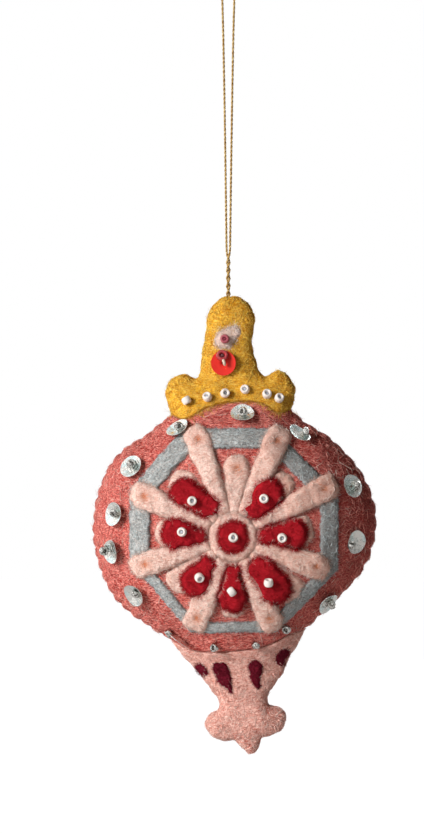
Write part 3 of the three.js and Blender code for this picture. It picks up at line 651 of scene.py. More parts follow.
def closed_sheet(points, triangles, rim, top, under):
    """A sheet's front at height top and its back at height under, which share the rim's points.

    The rim is that many points at the start. Heights count toward the viewer.
    """
    ids = np.arange(len(points))
    back = np.where(ids < rim, ids, ids + len(points) - rim)
    faces = np.vstack([triangles, back[triangles][:, ::-1]])
    return np.vstack([lifted(points, top), lifted(points, under)[rim:]]), faces


def wool_object(name, vertices, faces, kind, slot, nap, blush, replaced):
    """A piece of wool. Loose fibres grow where nap is 1. The darker colour shows by the other mark,
    which holds real dimples and specks and also painted shade toward the right.
    """
    marks = {"nap": nap, "blush": blush}
    for key, values in marks.items():
        marks[key] = np.concatenate([values, np.zeros(len(vertices) - len(values))])
    made = mesh_object(name, vertices, faces, wool_material(kind), slot, marks)
    made["wool"] = kind
    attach(made, BODY)
    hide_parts(replaced)
    return made


def node(tree, kind, *, inputs=None, **values):
    """Adds a shader node, sets its properties and sockets, and links sockets given as outputs."""
    made = tree.nodes.new(kind)
    for key, value in values.items():
        setattr(made, key, value)
    for key, value in (inputs or {}).items():
        if isinstance(value, bpy.types.NodeSocket):
            tree.links.new(value, made.inputs[key])
        else:
            made.inputs[key].default_value = value
    return made


def new_material(name):
    material = bpy.data.materials.new(name)
    material.use_nodes = True
    material.node_tree.nodes.clear()
    return material, material.node_tree


def finished(material, tree, inputs):
    """Ends a material in one principled surface with these inputs."""
    shader = node(tree, "ShaderNodeBsdfPrincipled", inputs=inputs)
    node(tree, "ShaderNodeOutputMaterial", inputs={"Surface": shader.outputs[0]})
    return material


def rgba(colour):
    """A colour with full alpha. A socket stays as it is."""
    return colour if isinstance(colour, bpy.types.NodeSocket) else (*colour[:3], 1)


def mixed(tree, share, a, b):
    """A colour between a and b by a share."""
    sockets = {0: share, 6: rgba(a), 7: rgba(b)}
    return node(tree, "ShaderNodeMix", inputs=sockets, data_type="RGBA").outputs[2]


def ranged(tree, value, low, high, to_low=0.0, to_high=1.0):
    """A value mapped from one range to another and held inside it."""
    sockets = {0: value, 1: low, 2: high, 3: to_low, 4: to_high}
    return node(tree, "ShaderNodeMapRange", inputs=sockets).outputs[0]


def product(tree, a, b):
    return node(tree, "ShaderNodeMath", operation="MULTIPLY", inputs={0: a, 1: b}).outputs[0]


def place_of(tree):
    """Each point's place in metres, which keeps a pattern at its real size."""
    return node(tree, "ShaderNodeTexCoord").outputs["Object"]


def attribute(tree, name):
    return node(tree, "ShaderNodeAttribute", attribute_name=name).outputs["Fac"]


def noise(tree, place, size, detail=1.0, **more):
    """Soft noise whose patches are about that size."""
    sockets = {"Vector": place, "Scale": 1 / size, "Detail": detail, **more}
    return node(tree, "ShaderNodeTexNoise", inputs=sockets).outputs


def bumped(tree, height, distance, strength):
    """A normal that follows a height of up to that distance."""
    sockets = {"Strength": strength, "Distance": distance, "Height": height}
    return node(tree, "ShaderNodeBump", inputs=sockets).outputs[0]


def fibre_noise(tree, turn, seed, across=0.15 * MM, along=1.9 * MM):
    """Long narrow streaks of noise, turned about the Y axis: the lie of one set of wool fibres."""
    place = place_of(tree)
    warp = noise(tree, place, 4 * MM)["Color"]
    shift = node(
        tree,
        "ShaderNodeVectorMath",
        operation="MULTIPLY_ADD",
        inputs={0: warp, 1: (1.6 * MM,) * 3, 2: place},
    )
    turned = node(
        tree,
        "ShaderNodeMapping",
        inputs={
            "Vector": shift.outputs[0],
            "Location": (seed * 0.013, 0, seed * 0.007),
            "Rotation": (0, turn, 0),
            "Scale": (1 / along, 1 / (3 * across), 1 / across),
        },
    )
    return noise(tree, turned.outputs[0], 1)["Fac"]


def wool(kind):
    """Base, dark and pale colours of one of the wools."""
    return getattr(settings("colours"), kind)[:], *map(linear, WOOL_TONES[kind][:2])


def wool_material(kind):
    """Pressed wool. Thin pale and dark streaks lie across a soft mottle, with hardly any relief.

    Real fibres are 0.03 mm thick. The streaks are drawn about 0.2 mm wide, so that a pixel of the
    picture still shows them.
    """
    name = kind + "_pressed_wool"
    if name in bpy.data.materials:
        return bpy.data.materials[name]
    shade, dark, pale = wool(kind)
    *_, contrast, seed, flecks = WOOL_TONES[kind]
    material, tree = new_material(name)
    place = place_of(tree)
    mottle = noise(tree, place, 0.42 * MM, 2, Roughness=0.65)["Fac"]
    layers = [
        (noise(tree, place, 6 * MM, 3)["Fac"], 0.4, 0.7, 0.22, dark),
        (mottle, 0.53, 0.36, 0.95 * contrast, dark),
        (mottle, 0.54, 0.68, 0.6 * contrast, pale),
    ]
    for i, turn in enumerate((0.1, 1.7, 2.9) if kind == "grey" else (0.6, 1.5, 2.2, 2.9)):
        low, high, most, colour = ((0.53, 0.68, 0.9, pale), (0.46, 0.33, 0.8, dark))[i % 2]
        layers.append((fibre_noise(tree, turn, seed + i), low, high, most * contrast, colour))
    for source, low, high, most, colour in layers:
        shade = mixed(tree, ranged(tree, source, low, high, 0, most), shade, colour)
    if flecks:
        speck = ranged(tree, noise(tree, place, 0.45 * MM)["Fac"], 0.6, 0.68)
        patch = ranged(tree, noise(tree, place, 9 * MM)["Fac"], 0.42, 0.62, 0.05, 0.6)
        shade = mixed(tree, product(tree, speck, patch), shade, linear(flecks))
    # Painted shade: the darker colour is mixed in by its share, most at the right side. The same
    # share also tints dimples and specks.
    if kind in DARK_TONE_AND_PAINTED_SHADE:
        shade = mixed(tree, attribute(tree, "blush"), shade, linear(DARK_TONE_AND_PAINTED_SHADE[kind][0]))
    return finished(material, tree, {
        "Base Color": shade, "Roughness": 1.0, "Specular IOR Level": 0.05,
        "Sheen Weight": 0.06, "Sheen Roughness": 0.5, "Sheen Tint": rgba(pale),
        "Normal": bumped(tree, mottle, 0.07 * MM, 0.6),
    })


def fuzz_material(name, dark, pale):
    """Loose wool fibres. Each fibre has one tone between dark and pale."""
    material, tree = new_material(name)
    shade = mixed(tree, attribute(tree, "tone"), dark, pale)
    return finished(material, tree, {
        "Base Color": shade, "Roughness": 1.0, "Specular IOR Level": 0.05,
    })


# Wool pads


def superellipse(turn, power):
    """Across and out for each turn away from out, on |across|^power + |out|^power = 1."""
    return [np.sign(v) * np.abs(v) ** (2 / power) for v in (np.sin(turn), np.cos(turn))]


def stadium(root, tip, root_radius, tip_radius, blunt, wobble, seed):
    """A pad's closed outline: two round ends of different radius joined by straight sides.

    The ends are superellipses, so a blunt above 2 squares them a little.
    """
    length = np.linalg.norm(tip - root)
    run = (tip - root) / length
    across = np.array([run[1], -run[0]])
    x, s = superellipse(np.linspace(-math.pi / 2, math.pi / 2, 33), blunt)
    end = np.column_stack([x * tip_radius, length + s * tip_radius])
    start = np.column_stack([x[::-1] * root_radius, -s * root_radius])
    local = np.vstack([end, start])[::-1]
    outline = closed_steps(root + local[:, :1] * across + local[:, 1:] * run, SMOOTH_STEP)
    ragged = wobble * waves(outline, seed, 2 * MM, 7 * MM)
    outline = outline + outward(outline) * ragged[:, None]
    (x, z), (next_x, next_z) = outline.T, np.roll(outline, -1, 0).T
    return outline if x @ next_z > z @ next_x else outline[::-1]


class Pad:
    """A flat piece of wool on the felt: its outline, thickness, rounded edge and what it lies on.

    Each dimple is a place, a radius and how deep needling has sunk the wool there.
    """

    def __init__(self, outline, thickness, edge, below=None, seed=0, dimples=()):
        self.outline, self.thickness, self.edge = outline, thickness, edge
        self.below, self.seed, self.dimples = below, seed, dimples

    def rise(self, points):
        """Height above the felt: what is below + thickness * roll(depth / edge)^1.5."""
        depth = signed_distance(points, self.outline)
        under = self.below(points) if self.below else 0
        soft = 0.05 * MM * waves(points, self.seed, *SHORT_LUMPS)
        height = under + (self.thickness + soft) * roll(depth / self.edge) ** 1.5
        for place, radius, sink in self.dimples:
            away = ((points - place) ** 2).sum(1)
            height -= sink * np.exp(-away / radius**2) * (depth > 0)
        return np.where(depth > 0, height, 0)

    def top(self, points):
        """Height of the pad's face on the ornament."""
        return felt_top(points) - BEDDING + self.rise(points)

    def blush(self, points):
        """Where needling has drawn a warmer wool to the surface, round the dimples."""
        share = np.zeros(len(points))
        for place, radius, _ in self.dimples:
            away = ((points - place) ** 2).sum(1)
            share += 0.75 * np.exp(-away / (1.2 * radius) ** 2)
            share += 0.25 * np.exp(-away / (2.6 * radius) ** 2)
        return np.clip(share, 0, 1)


def pad_object(name, pad, kind, slot, replaced):
    """A closed wool pad, its border and underside sunk a little into the felt that it lies on."""
    insets = [pad.edge * (1 - math.cos(turn)) for turn in np.radians([25, 42, 60, 76])]
    points, triangles = fill(pad.outline, insets, PAD_STEP)
    under = felt_top(points) - BEDDING - 0.12 * MM
    vertices, faces = closed_sheet(points, triangles, len(pad.outline), pad.top(points), under)
    nap = pad.rise(points) > 0.1 * MM
    # The darker colour: the pad's dimples, and painted shade toward the right.
    blush = np.maximum(pad.blush(points), painted_shade_share(points, kind))
    wool_object(name, vertices, faces, kind, slot, nap, blush, replaced)


def flower_centre():
    return on_region("body", (-0.018, -0.04))[0]


def band_centre():
    return on_region("body", (-0.004, 0.004))[0]


def band_half_sizes():
    s, f = settings("shape"), settings("flower")
    return np.array([s.body_half_width - f.side_margin, s.body_half_height - f.end_margin])


def band_corners():
    """The band's outer and inner corners: each side moved in by its own width."""
    outer = band_centre() + np.array(OCTAGON_SHARES) * band_half_sizes()
    run = unit(np.roll(outer, -1, 0) - outer)
    width = settings("flower").band_width * np.array(BAND_WIDTH_SHARES)
    start = outer + turned_right(run) * width[:, None]
    inner = []
    for i in range(len(outer)):
        sides = np.column_stack([run[i - 1], -run[i]])
        share = np.linalg.solve(sides, start[i] - start[i - 1])[0]
        inner.append(start[i - 1] + run[i - 1] * share)
    return outer, np.array(inner)


def octagon_share(points):
    """How far out each point lies, 0 at the band's centre and 1 on its outer edge."""
    corners = band_corners()[0] - band_centre()
    p = points - band_centre()
    share = np.zeros(len(points))
    for start, step in zip(corners, np.roll(corners, -1, 0) - corners):
        whole = start[0] * step[1] - start[1] * step[0]
        share = np.maximum(share, (p[:, 0] * step[1] - p[:, 1] * step[0]) / whole)
    return share


def band_lift(points):
    """How high the band lifts the long petals: its thickness, eased in at the band's inner edge."""
    t = np.clip((octagon_share(points) - 0.3) / 0.55, 0, 1)
    return settings("flower").band_thickness * t * t * (3 - 2 * t)


def from_centre(shares):
    """A place from the flower's centre, given as shares of the band's half sizes."""
    return flower_centre() + np.array(shares) * band_half_sizes()


def bearing(degrees):
    """The direction across and up at an angle clockwise from up."""
    return np.array([math.sin(math.radians(degrees)), math.cos(math.radians(degrees))])


def outer_place(degrees, share, radius):
    """The centre of a round end whose tip reaches that share of the way to the band's edge."""
    way = bearing(degrees)
    return flower_centre() - radius * way + way * band_half_sizes() * share


@functools.cache
def flower_pads():
    """The flower's wool pads: eight long and eight short petals, seven hearts, disc and heart."""
    f, middle = settings("flower"), flower_centre()
    start = f.disc_radius - 0.6 * MM
    longs, shorts, hearts = [], [], []
    for i, (degrees, share) in enumerate(LONG_PETAL_SHARES):
        root = middle + (start + f.long_root) * bearing(degrees)
        tip = outer_place(degrees, share, f.long_tip)
        outline = stadium(root, tip, f.long_root, f.long_tip, 2.8, 0.14 * MM, SEED + i)
        dimple = (tip - (tip - root) * 0.02, 0.9 * MM, 0.35 * MM)
        longs.append(Pad(outline, f.petal_thickness, f.pad_edge, band_lift, 20 + i, [dimple]))
    for i, (x, z, width) in enumerate(SHORT_PETAL_SHARES):
        tip, radius = from_centre((x, z)), f.short_tip * width
        away = tip - middle
        root = middle + away / np.linalg.norm(away) * (start + f.short_root)
        outline = stadium(root, tip, f.short_root, radius, 2.4, 0.14 * MM, SEED + 40 + i)
        dimples = [(tip, 1.0 * MM, 0.2 * MM)] if i == 0 else []
        thick = f.short_height * f.petal_thickness
        shorts.append(Pad(outline, thick, f.pad_edge, None, 40 + i, dimples))
    thick = f.petal_thickness + f.heart_thickness
    for i, (root, tip, _, radii) in enumerate(HEART_SHARES):
        ends = [from_centre(root), from_centre(tip), *(f.short_tip * np.array(radii) + 0.32 * MM)]
        outline = stadium(*ends, 2.3, 0.2 * MM, SEED + 60 + i)
        hearts.append(Pad(outline, thick, 1.2 * MM, band_lift, 60 + i))
    ends = [middle - (0, 0.2 * MM), middle + (0, 0.2 * MM)]
    outline = stadium(*ends, f.disc_radius, f.disc_radius, 2.0, 0.12 * MM, SEED + 80)
    disc = Pad(outline, f.petal_thickness * 1.1, f.pad_edge, None, 80)
    outline = stadium(*ends, f.heart_radius, f.heart_radius, 2.0, 0.08 * MM, SEED + 81)
    centre = Pad(outline, f.heart_thickness, 1.2 * MM, disc.rise, 81)
    return {"long": longs, "short": shorts, "hearts": hearts, "disc": disc, "centre": centre}


def drop_pads():
    """The four burgundy drops on the tail."""
    t = settings("trim")
    made = []
    for i, (head, tip, radii) in enumerate(DROP_SHARES, 1):
        root, end = on_region("tail", head)[0], on_region("tail", tip)[0]
        outline = stadium(root, end, *(t.drop_radius * np.array(radii)), 2.1, 0.2 * MM, 90 + i)
        made.append(Pad(outline, t.drop_thickness, 0.9 * MM, None, 90 + i))
    return made


def spot_pad():
    """The leaf of pale wool on the cap."""
    t = settings("trim")
    root, end = on_region("cap", SPOT_SHARES[:2])
    outline = stadium(root, end, t.spot_radius, 0.6 * t.spot_radius, 2.0, 0.12 * MM, 97)
    return Pad(outline, 0.45 * MM, 1.2 * MM, None, 97)


def band_rise(points):
    """Height of the band over the felt: thickness * roll(depth / 0.8 mm)."""
    outer, inner = band_corners()
    depth = np.minimum(signed_distance(points, outer), -signed_distance(points, inner))
    thick = settings("flower").band_thickness + BEDDING
    return thick * roll(depth / BAND_EDGE) * (depth > 0)


def surface(points):
    """Height of whatever lies on top of the front felt: the highest of the felt, band and pads."""
    pads = flower_pads()
    top = band_rise(points)
    small = [*drop_pads(), spot_pad(), pads["disc"], pads["centre"]]
    for pad in [*pads["long"], *pads["short"], *pads["hearts"], *small]:
        near = ((points > pad.outline.min(0)) & (points < pad.outline.max(0))).all(1)
        if near.any():
            top[near] = np.maximum(top[near], pad.rise(points[near]))
    return felt_top(points) - BEDDING + top


# Small round pieces


def basis_on(point, height, reach=0.8 * MM):
    """A point on the front surface and the three directions of its tangent plane.

    Returns the place, across, up and out as rows, where out is the normal.
    """
    point = np.asarray(point, float)
    around = point + reach * np.array([(0, 0), (1, 0), (-1, 0), (0, 1), (0, -1)])
    h = height(around)
    slope = np.array([(h[1] - h[2]), (h[3] - h[4])]) / (2 * reach)
    out = np.array([-slope[0], -1, -slope[1]])
    out /= np.linalg.norm(out)
    across = np.array([1, 0, 0]) - out * out[0]
    across /= np.linalg.norm(across)
    up = np.cross(out, across)
    up = -up if up[2] < 0 else up
    return np.array([point[0], -h[0], point[1]]), across, up, out


def tilted(across, up, out, axis_turn, tilt):
    """The same three directions with out tipped by tilt toward a direction in the plane."""
    lean = across * math.cos(axis_turn) + up * math.sin(axis_turn)
    side = np.cross(out, lean)
    new_out = out * math.cos(tilt) + lean * math.sin(tilt)
    new_lean = lean * math.cos(tilt) - out * math.sin(tilt)
    return new_lean, side, new_out


def bead_mesh(radius, hole, half_height, segments=28, around=16, square=2.1):
    """A seed bead: a superellipse turned round its hole."""
    s, c = superellipse(np.linspace(0, 2 * math.pi, around, endpoint=False), square)
    r = ((radius + hole) / 2 + (radius - hole) / 2 * c)[::-1]
    turn = np.arange(segments) * 2 * math.pi / segments
    high = np.tile((half_height * s)[::-1], (segments, 1))
    rows = np.stack([np.outer(np.cos(turn), r), np.outer(np.sin(turn), r), high], axis=2)
    return rows.reshape(-1, 3), grid_quads(segments, around)


def threaded_bead(radius, hole, half_height, place, axes):
    """A seed bead at a place, with a short end of thread that fills three quarters of its hole."""
    parts = Parts()
    vertices, faces = bead_mesh(radius, hole, half_height)
    parts.add(placed(vertices, place, *axes), solid_way_out(vertices, faces), thread=0.0)
    path = np.array([(0, 0, -0.8), (0, 0, -0.2), (0, 0, 0.45), (0, 0, 0.6)]) * half_height
    vertices, faces = tube(path, 0.97 * hole * np.array([1, 1, 1, 0.6]), 10)
    parts.add(placed(vertices, place, *axes), faces, thread=1.0)
    return parts


def placed(vertices, place, across, up, out):
    """Vertices turned into a frame of three directions and moved to a place."""
    return vertices @ np.array([across, up, out]) + place


def solid_way_out(vertices, faces):
    """Faces turned so that the closed mesh encloses a positive volume."""
    v, f = np.asarray(vertices), np.asarray(faces)
    total = 0.0
    for i in range(1, f.shape[1] - 1):
        total += np.einsum("ij,ij->i", v[f[:, 0]], np.cross(v[f[:, i]], v[f[:, i + 1]])).sum()
    return f if total > 0 else f[:, ::-1]


def tube(path, radius, sides, lobes=None):
    """A closed tube along a path, with frames carried along it so that they don't twist.

    lobes gives per point a turn, and then the radius is r (0.62 + 0.38 |cos(side - turn)|).
    """
    path = np.asarray(path, float)
    run = unit(np.gradient(path, axis=0))
    first = np.cross(run[0], (0.3, 0.9, 0.31))
    normals = [first / np.linalg.norm(first)]
    for direction in run[1:]:
        n = normals[-1] - direction * (normals[-1] @ direction)
        normals.append(n / np.linalg.norm(n))
    normals = np.array(normals)
    sideways = np.cross(run, normals)
    turn = np.arange(sides) * 2 * math.pi / sides
    reach = np.broadcast_to(np.asarray(radius, float), len(path))[:, None] * np.ones((1, sides))
    if lobes is not None:
        reach = reach * (0.62 + 0.38 * np.abs(np.cos(turn[None] - lobes[:, None])))
    ring = (
        path[:, None]
        + normals[:, None] * (reach * np.cos(turn))[..., None]
        + sideways[:, None] * (reach * np.sin(turn))[..., None]
    )
    vertices = np.vstack([ring.reshape(-1, 3), path[:1], path[-1:]])
    quads = grid_quads(len(path), sides, round_rows=False)
    k = np.arange(sides)
    n, last, tip = (k + 1) % sides, (len(path) - 1) * sides, np.full(sides, len(path) * sides)
    caps = [np.column_stack([n, k, tip]), np.column_stack([last + k, last + n, tip + 1])]
    triangles = np.vstack([quads[:, :3], quads[:, [0, 2, 3]], *caps])
    return vertices, solid_way_out(vertices, triangles)


class Parts:
    """Several small meshes gathered into one, each with its own value of some attributes."""

    def __init__(self):
        self.vertices, self.faces, self.values, self.count = [], [], {}, 0

    def add(self, vertices, faces, **values):
        self.vertices.append(vertices)
        self.faces.extend((np.asarray(faces) + self.count).tolist())
        for key, value in values.items():
            self.values.setdefault(key, []).append(np.broadcast_to(value, len(vertices)))
        self.count += len(vertices)

    def object(self, name, material, slot, smooth=True):
        values = {key: np.concatenate(parts) for key, parts in self.values.items()}
        vertices = np.vstack(self.vertices)
        made = mesh_object(name, vertices, self.faces, material, slot, values, smooth)
        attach(made, BODY)
        return made


# Operators


class ORNAMENT_OT_camera(bpy.types.Operator):
    """Place the camera level in front of the ornament, as in the photograph"""

    bl_idname = "ornament.camera"
    bl_label = "Camera"

    def execute(self, context):
        s = settings("stage")
        data = bpy.data.cameras.new("camera")
        data.sensor_fit = "VERTICAL"
        data.sensor_height = 24
        data.lens = data.sensor_height * s.distance / s.field
        data.clip_start, data.clip_end = 0.05, 20
        camera = linked("camera", data)
        camera.location = (s.across, -s.distance, s.up)
        camera.rotation_euler = (math.pi / 2, 0, 0)
        context.scene.camera = camera
        return {"FINISHED"}


class ORNAMENT_OT_cord(bpy.types.Operator):
    """Lay one metallic thread from the felt up round the loop and back, twisted at its foot"""

    bl_idname = "ornament.cord"
    bl_label = "Cord"

    def execute(self, context):
        c = settings("cord")
        path, sides = self.path(c), 14
        far = arc_lengths(path)
        lobes = 2 * math.pi * far / c.strand_lay
        vertices, faces = tube(path, c.strand / 2, sides, lobes)
        side = np.arange(sides) * 2 * math.pi / sides
        # How deep each point lies in the groove between plies; the cord's material paints shade
        # there.
        groove = [*(1 - np.abs(np.cos(side[None] - lobes[:, None])).ravel()), 0, 0]
        look = self.material()
        made = mesh_object("cord", vertices, faces, look, "gold_thread", {"groove": groove})
        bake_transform(made)
        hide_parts("hanging_loop", "loop_stem")
        return {"FINISHED"}

    def path(self, c):
        """Helix up the left strand, left leg, bend, right leg and helix down, every 0.2 mm."""
        helix = c.strand / 2
        foot_spread = (c.strand + 0.3 * MM) / 2
        z = -c.foot + np.linspace(0, c.foot, 900)
        below_loop = -z - c.drop
        leg = c.bight + (foot_spread - c.bight) * np.clip(-z / c.drop, 0, 1) ** 0.6
        spread = np.where(z > -c.drop, leg, foot_spread)
        ease = 1 / (1 + np.exp((below_loop - 0.3 * MM) / (0.5 * MM)))
        spread = helix + (spread - helix) * ease
        twisted = 0.6 * MM * np.log1p(np.exp((below_loop - 0.9 * MM) / (0.6 * MM)))
        turn = 2 * math.pi * twisted / c.pair_lay
        left = np.column_stack([-spread * np.cos(turn), spread * np.sin(turn), z])[z < -0.3 * MM]
        right = np.column_stack([-left[:, 0], -left[:, 1], left[:, 2]])[::-1]
        bend = np.linspace(0, math.pi, 24)
        bight = np.column_stack([-c.bight * np.cos(bend), 0 * bend, c.bight * np.sin(bend)])
        whole = np.vstack([left, bight, right])
        return even_steps(whole, int(arc_lengths(whole)[-1] / (0.2 * MM)))

    def material(self):
        """Gold foil thread with painted glints of paler gold from noise, and painted shade in dark
        brown along the groove between plies.
        """
        material, tree = new_material("gold_thread")
        # Painted glints: noise patches of paler gold.
        painted_glint = ranged(tree, noise(tree, place_of(tree), 0.5 * MM, 2)["Fac"], 0.45, 0.65)
        painted_glint_gold = mixed(tree, painted_glint, settings("colours").gold, linear("#E9CB86"))
        # Painted shade: dark brown in the groove between plies.
        groove = ranged(tree, attribute(tree, "groove"), 0.45, 0.85)
        shade = mixed(tree, groove, painted_glint_gold, linear("#4A3013"))
        return finished(material, tree, {"Base Color": shade, "Metallic": 0.45, "Roughness": 0.42})


def covered(points):
    """True where a pad of the flower or the band hides the felt, so no loose fibres grow there."""
    pads = flower_pads()
    outer, inner = band_corners()
    hidden = signed_distance(points, outer[::-1]) > 0
    hidden &= signed_distance(points, inner[::-1]) < 0
    for pad in [*pads["long"], *pads["short"], pads["disc"]]:
        hidden |= signed_distance(points, pad.outline) > 0.4 * MM
    return hidden


class ORNAMENT_OT_shells(bpy.types.Operator):
    """Sew the six felt panels round the stuffing, swelling between the whip stitches"""

    bl_idname = "ornament.shells"
    bl_label = "Felt panels"

    def execute(self, context):
        for region, kind in (("body", "coral"), ("cap", "yellow"), ("tail", "pink")):
            self.panels(region, kind)
        return {"FINISHED"}

    def panels(self, region, kind):
        """Front and back panel of one region.

        The outer face is inner + (height - inner) * roll(d / radius), with inner the other face of
        the felt and d the distance in from the edge. Points move out between stitches by
        scallop * |sin| * exp(-d / 1.5 mm), and the face is drawn in along each stitch.
        """
        s = settings("shape")
        ring = regions()[region]
        outline = ring["line"]
        insets = [s.edge_radius * (1 - math.cos(t)) for t in np.radians([22, 38, 54, 72, 90])]
        points, triangles = fill(outline, [*insets, 1.5 * MM, 2.1 * MM], FELT_STEP)
        away, index = nearest(points, outline)
        swell, sewn = ring["swell"][index], ring["sewn"][index]
        height = face_height(points)
        inner = np.maximum(height - s.felt, s.gap / 2)
        puff = 0.32 * MM * sewn * (np.sqrt(swell) - 0.62) * np.exp(-away / PUFF_REACH)
        edge = roll(away / np.where(sewn > 0, s.edge_radius, 0.7 * s.edge_radius))
        moved = points + outward(outline)[index] * (sewn * edge_shift(swell, away))[:, None]
        for way, name, seed in ((1, "front", SEED), (-1, "back", SEED + 1)):
            lumps = s.lumps * waves(points, seed, *LONG_LUMPS) * np.clip(away / (4 * MM), 0, 1)
            top = inner + (height + puff + lumps - inner) * edge
            vertices, faces = closed_sheet(moved, triangles, len(outline), way * top, way * inner)
            # The darker colour: painted shade toward the right, and on the front the specks of
            # darker wool.
            nap, blush = np.ones(len(points)), painted_shade_share(vertices, kind)
            if way > 0:
                nap[covered(points)] = region != "body"
                for x, z, size in SPECK_SHARES.get(region, []):
                    off = ((points - on_region(region, (x, z))) ** 2).sum(1)
                    speck = 0.8 * np.exp(-off / (size * settings("trim").silver_radius) ** 2)
                    blush[: len(points)] = np.maximum(blush[: len(points)], speck)
            whole, slot = f"{region}_{name}_felt", kind + "_felt"
            solid = f"{name}_panel" if region == "body" else f"{region}_{name}"
            faces = faces[:, ::way]
            made = wool_object(whole, vertices, faces, kind, slot, nap, blush, solid)


class ORNAMENT_OT_stuffing(bpy.types.Operator):
    """Fill the felt with one loose stuffing that runs through cap, body and tail"""

    bl_idname = "ornament.stuffing"
    bl_label = "Stuffing"

    def execute(self, context):
        s = settings("shape")
        whole = closed_steps(regions()["seam"]["line"], 1.2 * MM)
        outline = whole - outward(whole) * 2.2 * MM
        good = (nearest(outline, whole)[0] > 2.1 * MM) & inside(outline, whole)
        outline = closed_steps(outline[good], 1.2 * MM)
        points, triangles = fill(outline, [], 1.4 * MM)
        depth = nearest(points, outline)[0]
        top = np.maximum(face_height(points) - s.felt - 0.4 * MM, 0) * roll(depth / (2 * MM))
        top[: len(outline)] = 0
        vertices, faces = closed_sheet(points, triangles, len(outline), top, -top)
        made = mesh_object("stuffing", vertices, faces, self.material(), "stuffing")
        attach(made, BODY)
        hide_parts("filling")
        return {"FINISHED"}

    def material(self):
        """White fibre filling, soft and without shine."""
        material, tree = new_material("stuffing")
        tufts = noise(tree, place_of(tree), 5 * MM, 5)["Fac"]
        return finished(material, tree, {
            "Base Color": rgba(linear("#E9E6DF")), "Roughness": 1.0,
            "Normal": bumped(tree, tufts, 1 * MM, 1),
        })


class ORNAMENT_OT_band(bpy.types.Operator):
    """Lay the octagonal grey-blue band on the body"""

    bl_idname = "ornament.band"
    bl_label = "Band"

    def execute(self, context):
        f = settings("flower")
        outer, inner = band_corners()
        columns, flat, depth = 13, [], []
        shares = (1 - np.cos(np.linspace(0, math.pi, columns))) / 2
        for i, width in enumerate(BAND_WIDTH_SHARES):
            a, b, c, d = outer[i], outer[(i + 1) % 8], inner[i], inner[(i + 1) % 8]
            steps = int(np.linalg.norm(b - a) / (0.45 * MM))
            for t in np.arange(steps) / steps:
                start, stop = a + (b - a) * t, c + (d - c) * t
                flat.append(start + (stop - start) * shares[:, None])
                depth.append(np.minimum(shares, 1 - shares) * (f.band_width * width))
        rows = len(flat)
        flat, depth = np.concatenate(flat), np.concatenate(depth)
        ragged = 0.18 * MM * waves(flat, 5, 1.5 * MM, 7 * MM)
        flat = flat + unit(flat - flower_centre()) * ragged[:, None]
        base = felt_top(flat) - BEDDING
        soft = 0.05 * MM * waves(flat, 6, *SHORT_LUMPS)
        rise = (f.band_thickness + BEDDING + soft) * roll(depth / BAND_EDGE)
        vertices = np.vstack([lifted(flat, base + rise), lifted(flat, base - 0.2 * MM)])
        quads, total = grid_quads(rows, columns, round_columns=False), rows * columns
        walls = []
        for column, flip in ((0, 1), (columns - 1, -1)):
            one = np.arange(rows) * columns + column
            two = np.roll(one, -1)
            walls.append(np.column_stack([one, two, two + total, one + total])[:, ::flip])
        faces = solid_way_out(vertices, np.vstack([quads, quads[:, ::-1] + total, *walls]))
        # The band's darker colour is painted shade toward the right.
        wool_object(
            "octagon_band_felt", vertices, faces, "grey", "grey_felt", np.ones(total),
            painted_shade_share(vertices, "grey"), "octagon_band",
        )
        return {"FINISHED"}


class ORNAMENT_OT_petals(bpy.types.Operator):
    """Felt the sixteen petals and the centre disc onto the body"""

    bl_idname = "ornament.petals"
    bl_label = "Petals"

    def execute(self, context):
        pads = flower_pads()
        for group in ("long", "short"):
            for i, pad in enumerate(pads[group], 1):
                name = f"{group}_petal_{i}"
                pad_object(name + "_wool", pad, "petal", "petal_felt", name)
        pad_object("disc_wool", pads["disc"], "petal", "petal_felt", "flower_centre")
        return {"FINISHED"}


class ORNAMENT_OT_hearts(bpy.types.Operator):
    """Felt the dark red hearts, the burgundy drops and the pink spot"""

    bl_idname = "ornament.hearts"
    bl_label = "Hearts and drops"

    def execute(self, context):
        pads = flower_pads()
        for i, pad in enumerate(pads["hearts"], 1):
            pad_object(f"heart_{i}_wool", pad, "red", "red_wool", f"petal_heart_{i}")
        pad_object("centre_heart_wool", pads["centre"], "red", "red_wool", "flower_centre")
        for i, pad in enumerate(drop_pads(), 1):
            pad_object(f"drop_{i}_wool", pad, "burgundy", "burgundy_wool", f"tail_drop_{i}")
        pad_object("cap_spot_wool", spot_pad(), "spot", "pink_felt", "cap_spot")
        return {"FINISHED"}


